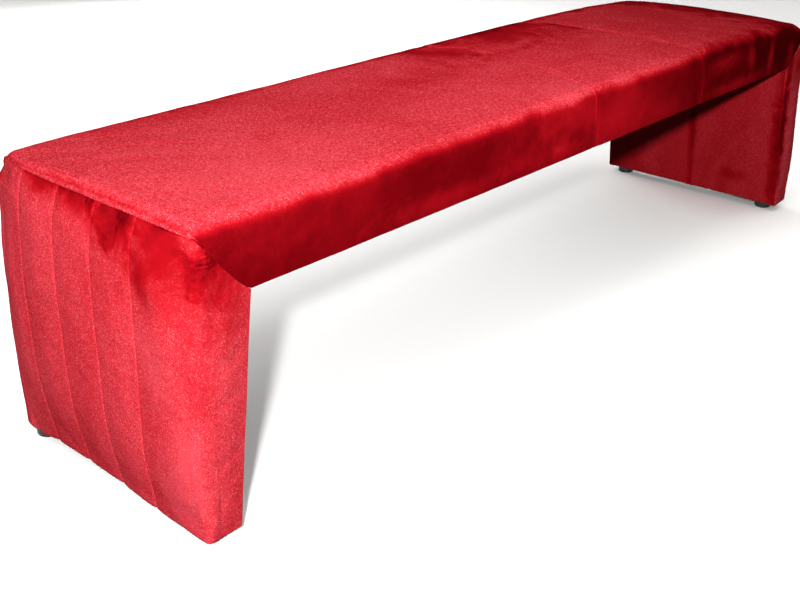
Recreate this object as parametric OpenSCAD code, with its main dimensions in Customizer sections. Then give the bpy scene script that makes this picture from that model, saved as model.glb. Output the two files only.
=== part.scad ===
// Upholstered bench: one long padded seat that turns down into two padded end legs.
// Millimetres. Floor at z = 0, length along X, front towards -Y.
// Each leg is drawn on the +X side and mirrored for the left end.

/* [Bench] */
// length over the two end seams of the seat
bench_l = 1800; // [1700:10:1900]
// depth of the seat and of the legs
bench_d = 450; // [420:5:480]
// height of the middle of the seat above the floor
bench_h = 460; // [440:5:480]
// height of the seat's front face with its underside
seat_t = 106; // [102:1:114]
// thickness of a leg where it meets the seat
leg_top_t = 88; // [82:1:96]
// thickness of a leg at its hem
leg_bottom_t = 54; // [50:1:62]

/* [Upholstery] */
// thickness of the cover with its backing
cover_t = 1.5; // [1:0.1:2]
// thickness of the wadding on the frame's faces
wadding_t = 4; // [3:0.5:5]
// thickness of the leg's pad behind its seams
pad_t = 10; // [8:0.5:11]
// radius of the two long top edges
edge_r = 30; // [24:1:34]
// radius of the turn at each end of the seat
end_r = 18; // [17:0.5:22]
// drop from the middle of the seat to its long edges
crown_h = 4; // [1:0.5:7]
// distance between the upright seams of a leg
channel_pitch = 84; // [76:1:88]
// how far the leg's seams stand out at the fullest height
panel_swell = 20; // [12:1:24]
// height of each channel above its seams
channel_h = 7; // [4:1:10]
// position of the seat's first cross seam, from the middle
seam_a_x = 40; // [0:5:80]
// position of the seat's second cross seam, from the middle
seam_b_x = 390; // [340:5:440]

/* [Frame] */
// thickness of the seat rails
rail_t = 25; // [22:1:28]
// height of the seat rails
rail_h = 60; // [54:1:62]
// width of a leg post, along the depth
post_w = 40; // [34:1:46]
// thickness of the hardboard panels
board_t = 3; // [2.5:0.5:4]
// width of a webbing strap
strap_w = 60; // [50:1:70]
// number of webbing straps
strap_count = 14; // [12:1:15]

/* [Fittings] */
// diameter of a glide
glide_d = 38; // [32:1:42]
// height of a glide
glide_h = 15; // [12:1:18]
// thread diameter of the bolts that hold the legs
bolt_d = 8; // [6:1:10]
// shank diameter of the wood screws
screw_d = 4; // [3.5:0.5:5]

/* [Hidden] */

$fn = 48;

velvet = "#C81428";
foam_yellow = "#E6D9A8";
wadding_white = "#F2F0EA";
beech = "#C9A06A";
hardboard = "#7A5433";
jute = "#B59A6A";
black_cloth = "#1E1E20";
zinc = "#B4B7BA";
moulded_black = "#141416";

// layers under the seat and under a leg, from below
cloth_t = 1;
strap_t = 1.2;
hessian_t = 0.8;
inner_wadding_t = 3;

half_l = bench_l / 2;
half_d = bench_d / 2;
seat_z = bench_h - seat_t;
flap_z = seat_z + cloth_t;
rail_z = flap_z + cover_t;
rail_top_z = rail_z + rail_h;
foam_z = rail_top_z + strap_t + hessian_t;

// the leg's levels, and the lines of its inner face
hem_z = glide_h + cloth_t;
post_z = hem_z + cover_t;
inner_x = half_l - leg_top_t;
hem_x = half_l - leg_bottom_t;
lean = (hem_x - inner_x) / (seat_z - hem_z);
inner_depth = cover_t + inner_wadding_t + board_t;
joint_x = inner_x + inner_depth;
board_x = half_l - cover_t - pad_t;
post_x = board_x - board_t;
frame_y = half_d - cover_t - wadding_t;
leg_rail_t = 34;
leg_rail_h = 50;
flap_w = 26;
hem_flap_w = 12;
inner_seam_y = -5;

// the turn at the seat's ends, where the end seam and the mitre run
turn_x = half_l - end_r;
front_turn = 12;
rear_turn = 28;
seam_z = bench_h - end_r;
mitre_slope = (seam_z - seat_z) / leg_top_t;
tuck = 4;
turn_angles = [0, 22.5, 45, 67.5, 90];
edge_angles = [0, 30, 60, 90];
top_steps = 3;

// the channels of a leg's outer panel, upright seams counted from the rear
first_seam_y = 136;
seam_count = 4;
channel_steps = [0, 0.12, 0.3, 0.5, 0.7, 0.88];
edge_steps = [0.2, 0.5, 0.8];
face_swell = 4;
front_swell = 0.85 * panel_swell;
rear_swell = 0.4 * panel_swell;
// how far the hem stands out at the front corner and is drawn in at the rear one
hem_out = 5;
hem_in = 5;
// rows up a leg: share of the height, fullness of the swell, pull of the hem
leg_rows = [
    [0, 0, 1], [0.06, 0.2, 0.9], [0.14, 0.56, 0.7], [0.24, 0.82, 0.4], [0.52, 0.97, 0],
    [0.76, 1, 0], [0.9, 0.74, 0], [0.96, 0.4, 0], [1, 0, 0],
];

cross_x = bench_l * 2 / 9;
block_l = 55;
block_h = 50;
strap_pitch = 2 * (joint_x - rail_t - strap_w) / strap_count;
strap_end_y = frame_y - 6;
staple_w = 10;
staple_wire = 0.8;
staple_leg = 7;
staple_y = frame_y - rail_t / 2;
dust_y = frame_y - rail_t / 2 + 3;
dust_x = inner_x - 5;
dust_staple_y = dust_y - 3;
dust_staple_count = 15;

bolt_y = 95;
bolt_z = rail_z + rail_h / 2;
washer_t = 1.6;
bolt_l = rail_t + leg_rail_t + washer_t + 8;
nut_flange_t = 1.5;
nut_barrel_l = 12;
nut_barrel_d = bolt_d + 2;
hole_gap = 0.5;

glide_x = half_l - leg_bottom_t / 2;
glide_y = half_d - 35;
glide_screw_z = 5;
glide_screw_l = 38;
frame_screw_l = 60;
frame_screw_rise = rail_h / 4;
head_t = 3;
// least height of the foam's upright edge
edge_min = 2;

function mix(a, b, t) = a + (b - a) * t;
function mitre_z(x) = seat_z + max(0, x - inner_x) * mitre_slope;
function inner_at(z) = hem_x - (z - hem_z) * lean;

// closed solid between two grids of points of the same size
module slab(over, under) {
    rows = len(over);
    cols = len(over[0]);
    n = rows * cols;
    points = [for (r = over) each r, for (r = under) each r];
    function at(i, j) = i * cols + j;
    function quad(a, b, c, d) = [[a, b, c], [a, c, d]];
    faces = [
        for (i = [0 : rows - 2]) for (j = [0 : cols - 2]) each concat(
            quad(at(i, j), at(i + 1, j), at(i + 1, j + 1), at(i, j + 1)),
            quad(n + at(i, j), n + at(i, j + 1), n + at(i + 1, j + 1), n + at(i + 1, j))),
        for (j = [0 : cols - 2]) each concat(
            quad(at(0, j), at(0, j + 1), n + at(0, j + 1), n + at(0, j)),
            quad(at(rows - 1, j + 1), at(rows - 1, j), n + at(rows - 1, j), n + at(rows - 1, j + 1))),
        for (i = [0 : rows - 2]) each concat(
            quad(at(i + 1, 0), at(i, 0), n + at(i, 0), n + at(i + 1, 0)),
            quad(at(i, cols - 1), at(i + 1, cols - 1), n + at(i + 1, cols - 1), n + at(i, cols - 1))),
    ];
    polyhedron(points = points, faces = faces, convexity = 6);
}

// a station along the seat is [x on the flat or side of the turn, angle of the turn]
function end_stations(from_x) =
    concat([[from_x, 0], [inner_x, 0]], [for (a = turn_angles) [turn_x, a]]);
function all_stations() = concat(
    [for (k = [len(turn_angles) - 1 : -1 : 0]) [-turn_x, turn_angles[k]]],
    [[-inner_x, 0], [seam_a_x, 0]],
    end_stations(seam_b_x));

// half a line over the seat as [distance from the middle, height], from its low edge inwards;
// end_depth and depth lie below the outside of the cover, turn_y is the corner's radius in plan
function seat_half(s, depth, floor_z, turn_y) =
    let (
        x_out = s[1] > 0 ? turn_x + end_r * sin(s[1]) : abs(s[0]),
        drop = crown_h * cos(s[1]),
        top = seam_z + (end_r - depth) * cos(s[1]),
        y_half = half_d - turn_y + (turn_y - depth) * cos(s[1]),
        y_edge = y_half - tuck * sin(s[1]),
        y_top = y_edge - edge_r + depth,
        rise = min(edge_r, seam_z + end_r * cos(s[1]) - drop - mitre_z(x_out)) - depth * cos(s[1])
    )
    concat(
        [[y_half, max(mitre_z(x_out), floor_z)]],
        [for (a = edge_angles) [y_top + (edge_r - depth) * cos(a), top - drop - max(0, rise) * (1 - sin(a))]],
        [for (k = [top_steps - 1 : -1 : 1]) [y_top * k / top_steps, top - drop * pow(k / top_steps, 2)]]);

// one line of points over the seat, front to rear
function seat_line(s, end_depth, depth, floor_z) =
    let (
        x = s[1] > 0 ? turn_x + (end_r - end_depth) * sin(s[1]) : abs(s[0]),
        side = sign(s[0]),
        front = seat_half(s, depth, floor_z, front_turn),
        rear = seat_half(s, depth, floor_z, rear_turn)
    )
    concat(
        [for (p = front) [side * x, -p[0], p[1]]],
        [[side * x, 0, seam_z + (end_r - depth) * cos(s[1])]],
        [for (k = [len(rear) - 1 : -1 : 0]) [side * x, rear[k][0], rear[k][1]]]);

// the lines become rows from front to rear
function seat_grid(stations, end_depth, depth, floor_z) =
    let (lines = [for (s = stations) seat_line(s, end_depth, depth, floor_z)])
    [for (i = [0 : len(lines[0]) - 1]) [for (l = lines) l[i]]];

function flat_at(grid, z) = [for (r = grid) [for (p = r) [p[0], p[1], z]]];

// a station round a leg is [x at the hem, x at the top, y, normal x, normal y, swell]
function face_station(side, f) =
    [mix(hem_x, turn_x, f), mix(inner_x, turn_x, f), side * half_d, 0, side, face_swell * f];
function turn_station(side, a) =
    let (
        x = turn_x + end_r * sin(a),
        turn_y = side < 0 ? front_turn : rear_turn,
        full = side < 0 ? front_swell : rear_swell
    )
    [x, x, side * (half_d - turn_y + turn_y * cos(a)), sin(a), side * cos(a), mix(face_swell, full, sin(a))];
function panel_station(y, swell) = [half_l, half_l, y, 1, 0, swell];
function arch(t) = channel_h * (1 - pow(abs(2 * t - 1), 2.4));
function seam_y(k) = first_seam_y - k * channel_pitch;

last_seam_y = seam_y(seam_count - 1);
front_y = front_turn - half_d;
rear_y = half_d - rear_turn;

// from the inner edge of the front face, round the outside, to the inner edge of the rear face
function leg_stations() = concat(
    [for (f = [0, 0.5]) face_station(-1, f)],
    [for (a = turn_angles) turn_station(-1, a)],
    [for (t = edge_steps) panel_station(mix(front_y, last_seam_y, t), mix(front_swell, panel_swell, t) + arch(t))],
    [for (k = [seam_count - 1 : -1 : 1]) for (t = channel_steps)
        panel_station(mix(seam_y(k), seam_y(k - 1), t), panel_swell + arch(t))],
    [panel_station(first_seam_y, panel_swell)],
    [for (t = edge_steps) panel_station(mix(first_seam_y, rear_y, t), mix(panel_swell, rear_swell, t * t) + arch(t))],
    [for (k = [len(turn_angles) - 1 : -1 : 0]) turn_station(1, turn_angles[k])],
    [for (f = [0.5, 0]) face_station(1, f)]);

// edge_in moves the inner edge outwards, clear of the inner cover
function leg_point(s, row, depth, edge_in, low_z) =
    let (
        x = mix(s[0], s[1], row[0]),
        hem = s[3] * mix(hem_out, -hem_in, (s[2] + half_d) / bench_d),
        swell = s[5] * row[1] + hem * row[2],
        shift = x < turn_x ? edge_in * (turn_x - x) / (turn_x - mix(hem_x, inner_x, row[0])) : 0
    )
    [
        x + s[3] * (swell - depth) + shift,
        s[2] + s[4] * (min(swell, face_swell) - depth),
        mix(low_z, mitre_z(s[1]), row[0]),
    ];

// the outer surface of the padding or cover, depth below the cover's outside
function leg_grid(depth, edge_in, low_z) =
    [for (r = leg_rows) [for (s = leg_stations()) leg_point(s, r, depth, edge_in, low_z)]];

// the same stations on the boards and posts behind the padding, with their square corners
function behind_point(s, row, edge_in, low_z) =
    let (
        p = leg_point(s, [row[0], 0, 0], 0, edge_in, low_z),
        turn = atan2(s[3], abs(s[4])),
        y_edge = s[2] < 0 ? -front_y : rear_y
    )
    [
        s[3] == 0 ? p[0] : mix(turn_x, board_x, min(1, turn / 45)),
        s[4] == 0 ? s[2] : sign(s[2]) * mix(y_edge, frame_y, min(1, (90 - turn) / 45)),
        p[2],
    ];
function behind_grid(edge_in, low_z) =
    [for (r = leg_rows) [for (s = leg_stations()) behind_point(s, r, edge_in, low_z)]];

module box(x0, x1, y0, y1, z0, z1) {
    translate([x0, y0, z0]) cube([x1 - x0, y1 - y0, z1 - z0]);
}

// outline in X and Z, drawn out from y0 to y1
module prism(outline, y0, y1) {
    translate([0, y1, 0]) rotate([90, 0, 0]) linear_extrude(y1 - y0) polygon(outline);
}

// a layer of the leg's inner face between two depths, up to the underside of the seat
module inner_layer(near, far, z0, y0, y1) {
    prism([
        [inner_at(z0) + near, z0], [inner_at(z0) + far, z0],
        [inner_x + far, seat_z], [inner_x + near, seat_z],
    ], y0, y1);
}

module mirrored() {
    mirror([1, 0, 0]) children();
}

// wood screw along +Z, its head's flat face at z = 0
module screw(length) {
    cylinder(d1 = 2 * screw_d, d2 = screw_d, h = head_t);
    cylinder(d = screw_d, h = length - screw_d);
    translate([0, 0, length - screw_d]) cylinder(d1 = screw_d, d2 = 1, h = screw_d);
}

// wire staple with its crown's underside at z = 0 and its legs along -Z
module staple() {
    half = staple_w / 2;
    translate([0, staple_wire / 2, 0]) rotate([90, 0, 0]) linear_extrude(staple_wire) polygon([
        [-half, -staple_leg], [-half, staple_wire], [half, staple_wire], [half, -staple_leg],
        [half - staple_wire, -staple_leg], [half - staple_wire, 0],
        [-half + staple_wire, 0], [-half + staple_wire, -staple_leg],
    ]);
}

module bolt_sites() {
    for (y = [-bolt_y, bolt_y]) translate([0, y, bolt_z]) rotate([0, 90, 0]) children();
}

module glide_sites() {
    for (y = [-glide_y, glide_y]) translate([glide_x, y, 0]) children();
}

module strap_sites() {
    for (k = [0 : strap_count - 1]) translate([(k - (strap_count - 1) / 2) * strap_pitch, 0, 0]) children();
}

// a pair of screws through a long rail into the end of each short rail
module frame_screws() {
    for (side = [-1, 1]) for (x = [-joint_x + rail_t / 2, -cross_x, 0, cross_x, joint_x - rail_t / 2])
        for (k = [-1, 1]) translate([x, side * frame_y, rail_z + rail_h / 2 + k * frame_screw_rise])
            rotate([side * 90, 0, 0]) screw(frame_screw_l);
}

module webbing_staples() {
    for (side = [-1, 1]) strap_sites() for (k = [-1, 1])
        translate([k * strap_w / 4, side * staple_y, rail_top_z + strap_t]) staple();
}

module dust_staples() {
    pitch = 2 * (dust_x - 2 * staple_w) / (dust_staple_count - 1);
    for (side = [-1, 1]) for (k = [0 : dust_staple_count - 1])
        translate([(k - (dust_staple_count - 1) / 2) * pitch, side * dust_staple_y, seat_z])
            rotate([180, 0, 0]) staple();
}

// a long rail, with the slots and holes of its staples and screws
module long_rail(side) {
    difference() {
        box(-joint_x, joint_x, min(side * frame_y, side * (frame_y - rail_t)),
            max(side * frame_y, side * (frame_y - rail_t)), rail_z, rail_top_z);
        frame_screws();
        webbing_staples();
        dust_staples();
    }
}

module seat_front_rail() color(beech) long_rail(-1);
module seat_back_rail() color(beech) long_rail(1);

module end_rail() {
    difference() {
        box(joint_x - rail_t, joint_x, -frame_y + rail_t, frame_y - rail_t, rail_z, rail_top_z);
        frame_screws();
        translate([joint_x - 2 * rail_t, 0, 0]) bolt_sites() cylinder(d = bolt_d + hole_gap, h = 3 * rail_t);
    }
}

module seat_left_end_rail() color(beech) mirrored() end_rail();
module seat_right_end_rail() color(beech) end_rail();

module cross_rail(x) {
    difference() {
        box(x - rail_t / 2, x + rail_t / 2, -frame_y + rail_t, frame_y - rail_t, rail_z, rail_top_z);
        frame_screws();
    }
}

module seat_left_cross_rail() color(beech) cross_rail(-cross_x);
module seat_middle_cross_rail() color(beech) cross_rail(0);
module seat_right_cross_rail() color(beech) cross_rail(cross_x);

module seat_corner_blocks() color(beech) {
    for (a = [0, 1]) for (b = [0, 1]) mirror([a, 0, 0]) mirror([0, b, 0])
        translate([joint_x - rail_t, frame_y - rail_t, rail_z + (rail_h - block_h) / 2])
            linear_extrude(block_h) polygon([[0, 0], [-block_l, 0], [0, -block_l]]);
}

module seat_frame_screws() color(zinc) frame_screws();

module seat_webbing() color(jute) {
    difference() {
        strap_sites() box(-strap_w / 2, strap_w / 2, -strap_end_y, strap_end_y, rail_top_z, rail_top_z + strap_t);
        webbing_staples();
    }
}

module seat_webbing_staples() color(zinc) webbing_staples();

module seat_hessian() color(jute) {
    edge = staple_y - 2;
    box(-joint_x, joint_x, -edge, edge, foam_z - hessian_t, foam_z);
}

module seat_foam() color(foam_yellow) {
    over = seat_grid(all_stations(), cover_t + pad_t, cover_t + wadding_t, foam_z + edge_min);
    slab(over, flat_at(over, foam_z));
}

module seat_wadding() color(wadding_white) {
    over = seat_grid(all_stations(), cover_t, cover_t, rail_z);
    under = seat_grid(all_stations(), cover_t + pad_t, cover_t + wadding_t, rail_z);
    slab(over, under);
}

// a panel of the seat's cover with the flaps that turn under the rails
module seat_cover(stations) {
    slab(seat_grid(stations, 0, 0, flap_z), seat_grid(stations, cover_t, cover_t, flap_z));
    x0 = stations[0][0];
    x1 = min(inner_x, stations[len(stations) - 1][0]);
    for (side = [-1, 1]) {
        y0 = side * (half_d - cover_t / 2);
        y1 = side * (half_d - flap_w);
        difference() {
            box(x0, x1, min(y0, y1), max(y0, y1), flap_z, rail_z);
            dust_staples();
        }
    }
}

module seat_left_cover() color(velvet) mirrored() seat_cover(end_stations(-seam_a_x));
module seat_middle_cover() color(velvet) seat_cover([[seam_a_x, 0], [seam_b_x, 0]]);
module seat_right_cover() color(velvet) seat_cover(end_stations(seam_b_x));

module seat_dust_cover() color(black_cloth) {
    difference() {
        box(-dust_x, dust_x, -dust_y, dust_y, seat_z, flap_z);
        dust_staples();
    }
}

module seat_dust_cover_staples() color(zinc) dust_staples();

// a post's outline in X and Z: upright outside, leaning inside up to the seat
function post_outline(z0, z1) = [
    [inner_at(z0) + inner_depth, z0],
    [post_x, z0],
    [post_x, z1],
    [joint_x, z1],
    [joint_x, seat_z],
];

module leg_post(side) {
    y0 = side * frame_y;
    y1 = side * (frame_y - post_w);
    difference() {
        prism(post_outline(post_z, foam_z), min(y0, y1), max(y0, y1));
        leg_glide_screws();
    }
}

module leg_top_rail() {
    span = frame_y - post_w;
    difference() {
        box(joint_x, joint_x + leg_rail_t, -span, span, rail_z, foam_z);
        translate([joint_x - rail_t, 0, 0]) bolt_sites() cylinder(d = bolt_d + hole_gap, h = 3 * leg_rail_t);
        translate([joint_x + leg_rail_t - nut_barrel_l, 0, 0]) bolt_sites()
            cylinder(d = nut_barrel_d, h = 2 * nut_barrel_l);
    }
}

module leg_bottom_rail() {
    span = frame_y - post_w;
    top = post_z + leg_rail_h;
    prism([
        [inner_at(post_z) + inner_depth, post_z], [post_x, post_z],
        [post_x, top], [inner_at(top) + inner_depth, top],
    ], -span, span);
}

module leg_outer_board() box(post_x, board_x, -frame_y, frame_y, post_z, foam_z);

module leg_inner_board() inner_layer(cover_t + inner_wadding_t, inner_depth, post_z, -frame_y, frame_y);

module leg_inner_wadding() inner_layer(cover_t, cover_t + inner_wadding_t, post_z, -frame_y, frame_y);

module leg_inner_cover(y0, y1) inner_layer(0, cover_t, hem_z, y0, y1);

module leg_pad() slab(leg_grid(cover_t, cover_t, post_z), behind_grid(cover_t, post_z));

// the cover round the outside of a leg, with its hem turned under
module leg_channel_cover() {
    slab(leg_grid(0, 0, hem_z), leg_grid(cover_t, 0, hem_z));
    hem = [for (p = leg_grid(cover_t / 2, cover_t, hem_z)[0]) [p[0], p[1]]];
    difference() {
        translate([0, 0, hem_z]) linear_extrude(cover_t) polygon(hem);
        box(0, half_l - hem_flap_w, -half_d + hem_flap_w, half_d - hem_flap_w, 0, seat_z);
    }
}

module leg_bottom_cover() {
    inset = hem_flap_w / 2;
    difference() {
        box(hem_x + inset, half_l - inset, -half_d + inset, half_d - inset, glide_h, hem_z);
        glide_sites() cylinder(d = screw_d, h = 2 * glide_h);
    }
}

// a moulded foot: rounded at the floor, slightly dished round its screw
module leg_glides() {
    r = glide_d / 2;
    round_r = 3;
    glide_sites() difference() {
        rotate_extrude() union() {
            square([r - round_r, glide_h]);
            translate([0, round_r]) square([r, glide_h - round_r]);
            translate([r - round_r, round_r]) circle(r = round_r);
        }
        cylinder(d = 2 * screw_d + 1, h = glide_screw_z);
        translate([0, 0, glide_screw_z]) cylinder(d1 = 2 * screw_d, d2 = screw_d, h = head_t);
        cylinder(d = screw_d, h = 2 * glide_h);
    }
}

module leg_glide_screws() glide_sites() translate([0, 0, glide_screw_z]) screw(glide_screw_l);

// hexagon head inside the seat's end rail, thread out through the leg's top rail
module leg_bolts() {
    head_h = 0.65 * bolt_d;
    across_flats = 1.6 * bolt_d;
    translate([joint_x - rail_t - washer_t, 0, 0]) bolt_sites() union() {
        cylinder(d = bolt_d, h = bolt_l);
        translate([0, 0, -head_h]) cylinder(d = across_flats / cos(30), h = head_h, $fn = 6);
    }
}

module leg_washers() {
    translate([joint_x - rail_t - washer_t, 0, 0]) bolt_sites() difference() {
        cylinder(d = 3 * bolt_d, h = washer_t);
        translate([0, 0, -washer_t]) cylinder(d = bolt_d + hole_gap, h = 3 * washer_t);
    }
}

module leg_tee_nuts() {
    translate([joint_x + leg_rail_t, 0, 0]) bolt_sites() difference() {
        union() {
            translate([0, 0, -nut_barrel_l]) cylinder(d = nut_barrel_d, h = nut_barrel_l);
            cylinder(d = 2.4 * bolt_d, h = nut_flange_t);
        }
        translate([0, 0, -2 * nut_barrel_l]) cylinder(d = bolt_d, h = 4 * nut_barrel_l);
    }
}

module left_leg_front_post() color(beech) mirrored() leg_post(-1);
module left_leg_rear_post() color(beech) mirrored() leg_post(1);
module left_leg_top_rail() color(beech) mirrored() leg_top_rail();
module left_leg_bottom_rail() color(beech) mirrored() leg_bottom_rail();
module left_leg_outer_board() color(hardboard) mirrored() leg_outer_board();
module left_leg_inner_board() color(hardboard) mirrored() leg_inner_board();
module left_leg_pad() color(foam_yellow) mirrored() leg_pad();
module left_leg_inner_wadding() color(wadding_white) mirrored() leg_inner_wadding();
module left_leg_channel_cover() color(velvet) mirrored() leg_channel_cover();
module left_leg_inner_front_cover() color(velvet) mirrored() leg_inner_cover(-half_d + cover_t, inner_seam_y);
module left_leg_inner_rear_cover() color(velvet) mirrored() leg_inner_cover(inner_seam_y, half_d - cover_t);
module left_leg_bottom_cover() color(black_cloth) mirrored() leg_bottom_cover();
module left_leg_glides() color(moulded_black) mirrored() leg_glides();
module left_leg_glide_screws() color(zinc) mirrored() leg_glide_screws();
module left_leg_bolts() color(zinc) mirrored() leg_bolts();
module left_leg_washers() color(zinc) mirrored() leg_washers();
module left_leg_tee_nuts() color(zinc) mirrored() leg_tee_nuts();

module right_leg_front_post() color(beech) leg_post(-1);
module right_leg_rear_post() color(beech) leg_post(1);
module right_leg_top_rail() color(beech) leg_top_rail();
module right_leg_bottom_rail() color(beech) leg_bottom_rail();
module right_leg_outer_board() color(hardboard) leg_outer_board();
module right_leg_inner_board() color(hardboard) leg_inner_board();
module right_leg_pad() color(foam_yellow) leg_pad();
module right_leg_inner_wadding() color(wadding_white) leg_inner_wadding();
module right_leg_channel_cover() color(velvet) leg_channel_cover();
module right_leg_inner_front_cover() color(velvet) leg_inner_cover(-half_d + cover_t, inner_seam_y);
module right_leg_inner_rear_cover() color(velvet) leg_inner_cover(inner_seam_y, half_d - cover_t);
module right_leg_bottom_cover() color(black_cloth) leg_bottom_cover();
module right_leg_glides() color(moulded_black) leg_glides();
module right_leg_glide_screws() color(zinc) leg_glide_screws();
module right_leg_bolts() color(zinc) leg_bolts();
module right_leg_washers() color(zinc) leg_washers();
module right_leg_tee_nuts() color(zinc) leg_tee_nuts();

seat_front_rail();
seat_back_rail();
seat_left_end_rail();
seat_right_end_rail();
seat_left_cross_rail();
seat_middle_cross_rail();
seat_right_cross_rail();
seat_corner_blocks();
seat_frame_screws();
seat_webbing();
seat_webbing_staples();
seat_hessian();
seat_foam();
seat_wadding();
seat_left_cover();
seat_middle_cover();
seat_right_cover();
seat_dust_cover();
seat_dust_cover_staples();
left_leg_front_post();
left_leg_rear_post();
left_leg_top_rail();
left_leg_bottom_rail();
left_leg_outer_board();
left_leg_inner_board();
left_leg_pad();
left_leg_inner_wadding();
left_leg_channel_cover();
left_leg_inner_front_cover();
left_leg_inner_rear_cover();
left_leg_bottom_cover();
left_leg_glides();
left_leg_glide_screws();
left_leg_bolts();
left_leg_washers();
left_leg_tee_nuts();
right_leg_front_post();
right_leg_rear_post();
right_leg_top_rail();
right_leg_bottom_rail();
right_leg_outer_board();
right_leg_inner_board();
right_leg_pad();
right_leg_inner_wadding();
right_leg_channel_cover();
right_leg_inner_front_cover();
right_leg_inner_rear_cover();
right_leg_bottom_cover();
right_leg_glides();
right_leg_glide_screws();
right_leg_bolts();
right_leg_washers();
right_leg_tee_nuts();
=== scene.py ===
import math

import bpy
import numpy as np
from mathutils import Matrix, Vector, noise


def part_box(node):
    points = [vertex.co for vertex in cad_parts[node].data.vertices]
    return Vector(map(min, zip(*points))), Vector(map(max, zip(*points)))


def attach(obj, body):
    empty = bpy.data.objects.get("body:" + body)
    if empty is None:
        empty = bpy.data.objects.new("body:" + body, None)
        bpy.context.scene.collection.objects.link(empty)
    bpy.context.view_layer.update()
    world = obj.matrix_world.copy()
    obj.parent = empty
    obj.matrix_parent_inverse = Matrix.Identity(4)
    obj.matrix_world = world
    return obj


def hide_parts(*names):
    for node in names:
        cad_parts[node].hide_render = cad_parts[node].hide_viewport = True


# Red velvet bench: a padded seat that turns down into two channelled end legs.
# Metres, floor at z = 0, length along X, the front faces -Y.

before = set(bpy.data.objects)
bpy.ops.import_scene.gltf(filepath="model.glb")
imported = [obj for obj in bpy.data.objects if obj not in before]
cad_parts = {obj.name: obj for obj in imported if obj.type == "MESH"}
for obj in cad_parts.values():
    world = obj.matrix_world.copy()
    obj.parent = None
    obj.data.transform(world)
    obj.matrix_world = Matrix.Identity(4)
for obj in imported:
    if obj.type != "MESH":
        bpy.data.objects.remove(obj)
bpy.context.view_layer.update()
scene = bpy.context.scene
print("frame loaded:", len(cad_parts), "CAD nodes")

bench = {
    "halfLength": 0.900,
    "halfDepth": 0.225,
    "seamHeight": 0.450,      # end seams of the seat
    "endDrop": 0.010,         # from the top down to them
    "seamTilt": 0.003,        # they stand higher at the rear
    "seatLow": 0.354,         # underside of the seat
    "hem": 0.016,             # lower edge of the leg covers
    "innerTop": 0.812,        # inner face of a leg, at the seat and at the hem
    "innerHem": 0.846,
    "edgeRadius": 0.030,      # long top edges
    "endRadius": 0.018,       # turn at the seat's ends
    "frontTurn": 0.010,       # corners of the end in plan
    "rearTurn": 0.028,
    "tuck": 0.004,
    "crown": 0.004,
    "coverThick": 0.0015,
    "padThick": 0.010,
    "waddingThick": 0.004,
    "padGap": 0.001,          # the padding lies this far behind the covers
    "railLow": 0.3565,
    "foamLow": 0.4185,
    "padLow": 0.0175,         # lower edge of the legs' boards and padding
    "boardX": 0.8885,         # outer face of the outer boards
    "boardY": 0.2195,
}
turnX = bench["halfLength"] - bench["endRadius"]
seatReach = turnX + bench["endRadius"] * math.pi / 2    # half the seat's length, along its surface


# curves and fields

def smoothStep(t):
    t = np.clip(t, 0, 1)
    return t * t * (3 - 2 * t)


def bell(distance, width):
    return np.exp(-(distance / width) ** 2)


def curveThrough(at, knots, values):
    # smooth curve through a few measured points
    knots, values = np.asarray(knots, float), np.asarray(values, float)
    slope = np.gradient(values, knots)
    at = np.clip(at, knots[0], knots[-1])
    i = np.clip(np.searchsorted(knots, at) - 1, 0, len(knots) - 2)
    step = knots[i + 1] - knots[i]
    s = (at - knots[i]) / step
    return ((2 * s**3 - 3 * s**2 + 1) * values[i] + (s**3 - 2 * s**2 + s) * step * slope[i]
            + (3 * s**2 - 2 * s**3) * values[i + 1] + (s**3 - s**2) * step * slope[i + 1])


def ripple(points, size, seed):
    # soft unevenness, about -1 to 1, with lumps of that size
    shift = Vector((seed * 3.7, seed * 1.3, seed * 7.1))
    flat = points.reshape(-1, 3) / size
    return np.array([noise.noise(Vector(p) + shift) for p in flat]).reshape(points.shape[:-1])


def resample(coarse, at, axis):
    # cubic blend from evenly spaced rows to the finer ones at those places
    count = coarse.shape[axis]
    i = np.clip(np.floor(at).astype(int), 0, count - 2)
    f = at - i
    weights = [(-f + 2 * f**2 - f**3) / 2, (2 - 5 * f**2 + 3 * f**3) / 2,
               (f + 4 * f**2 - 3 * f**3) / 2, (f**3 - f**2) / 2]
    made = 0
    for k, w in enumerate(weights):
        rows = np.take(coarse, np.clip(i + k - 1, 0, count - 1), axis=axis)
        shape = [1] * coarse.ndim
        shape[axis] = len(at)
        made = made + rows * w.reshape(shape)
    return made


# grids of points: rows x columns x 3, with the outside where rows and columns turn it

def gridNormals(grid, passes=0):
    # weighted by area, and evened out over the neighbours where rows run together
    normal = np.cross(np.gradient(grid, axis=1), np.gradient(grid, axis=0))
    rows, cols = normal.shape[:2]
    for _ in range(passes):
        padded = np.pad(normal, ((1, 1), (1, 1), (0, 0)), mode="edge")
        normal = sum(padded[i:i + rows, j:j + cols] for i in range(3) for j in range(3))
    return normal / np.maximum(np.linalg.norm(normal, axis=2, keepdims=True), 1e-9)


def edgeDistance(grid, axis, atEnd):
    # distance of each point from one border, along the grid's own lines
    step = np.linalg.norm(np.diff(grid, axis=axis), axis=2)
    zero = np.zeros_like(np.take(step, [0], axis=axis))
    if atEnd:
        total = np.concatenate([zero, np.cumsum(np.flip(step, axis), axis=axis)], axis=axis)
        return np.flip(total, axis)
    return np.concatenate([zero, np.cumsum(step, axis=axis)], axis=axis)


def roundedIn(distance, radius):
    # how deep the cloth rolls in at a sewn or turned edge
    share = np.clip(1 - distance / radius, 0, 1)
    return radius * (1 - np.sqrt(1 - share**2))


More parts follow.
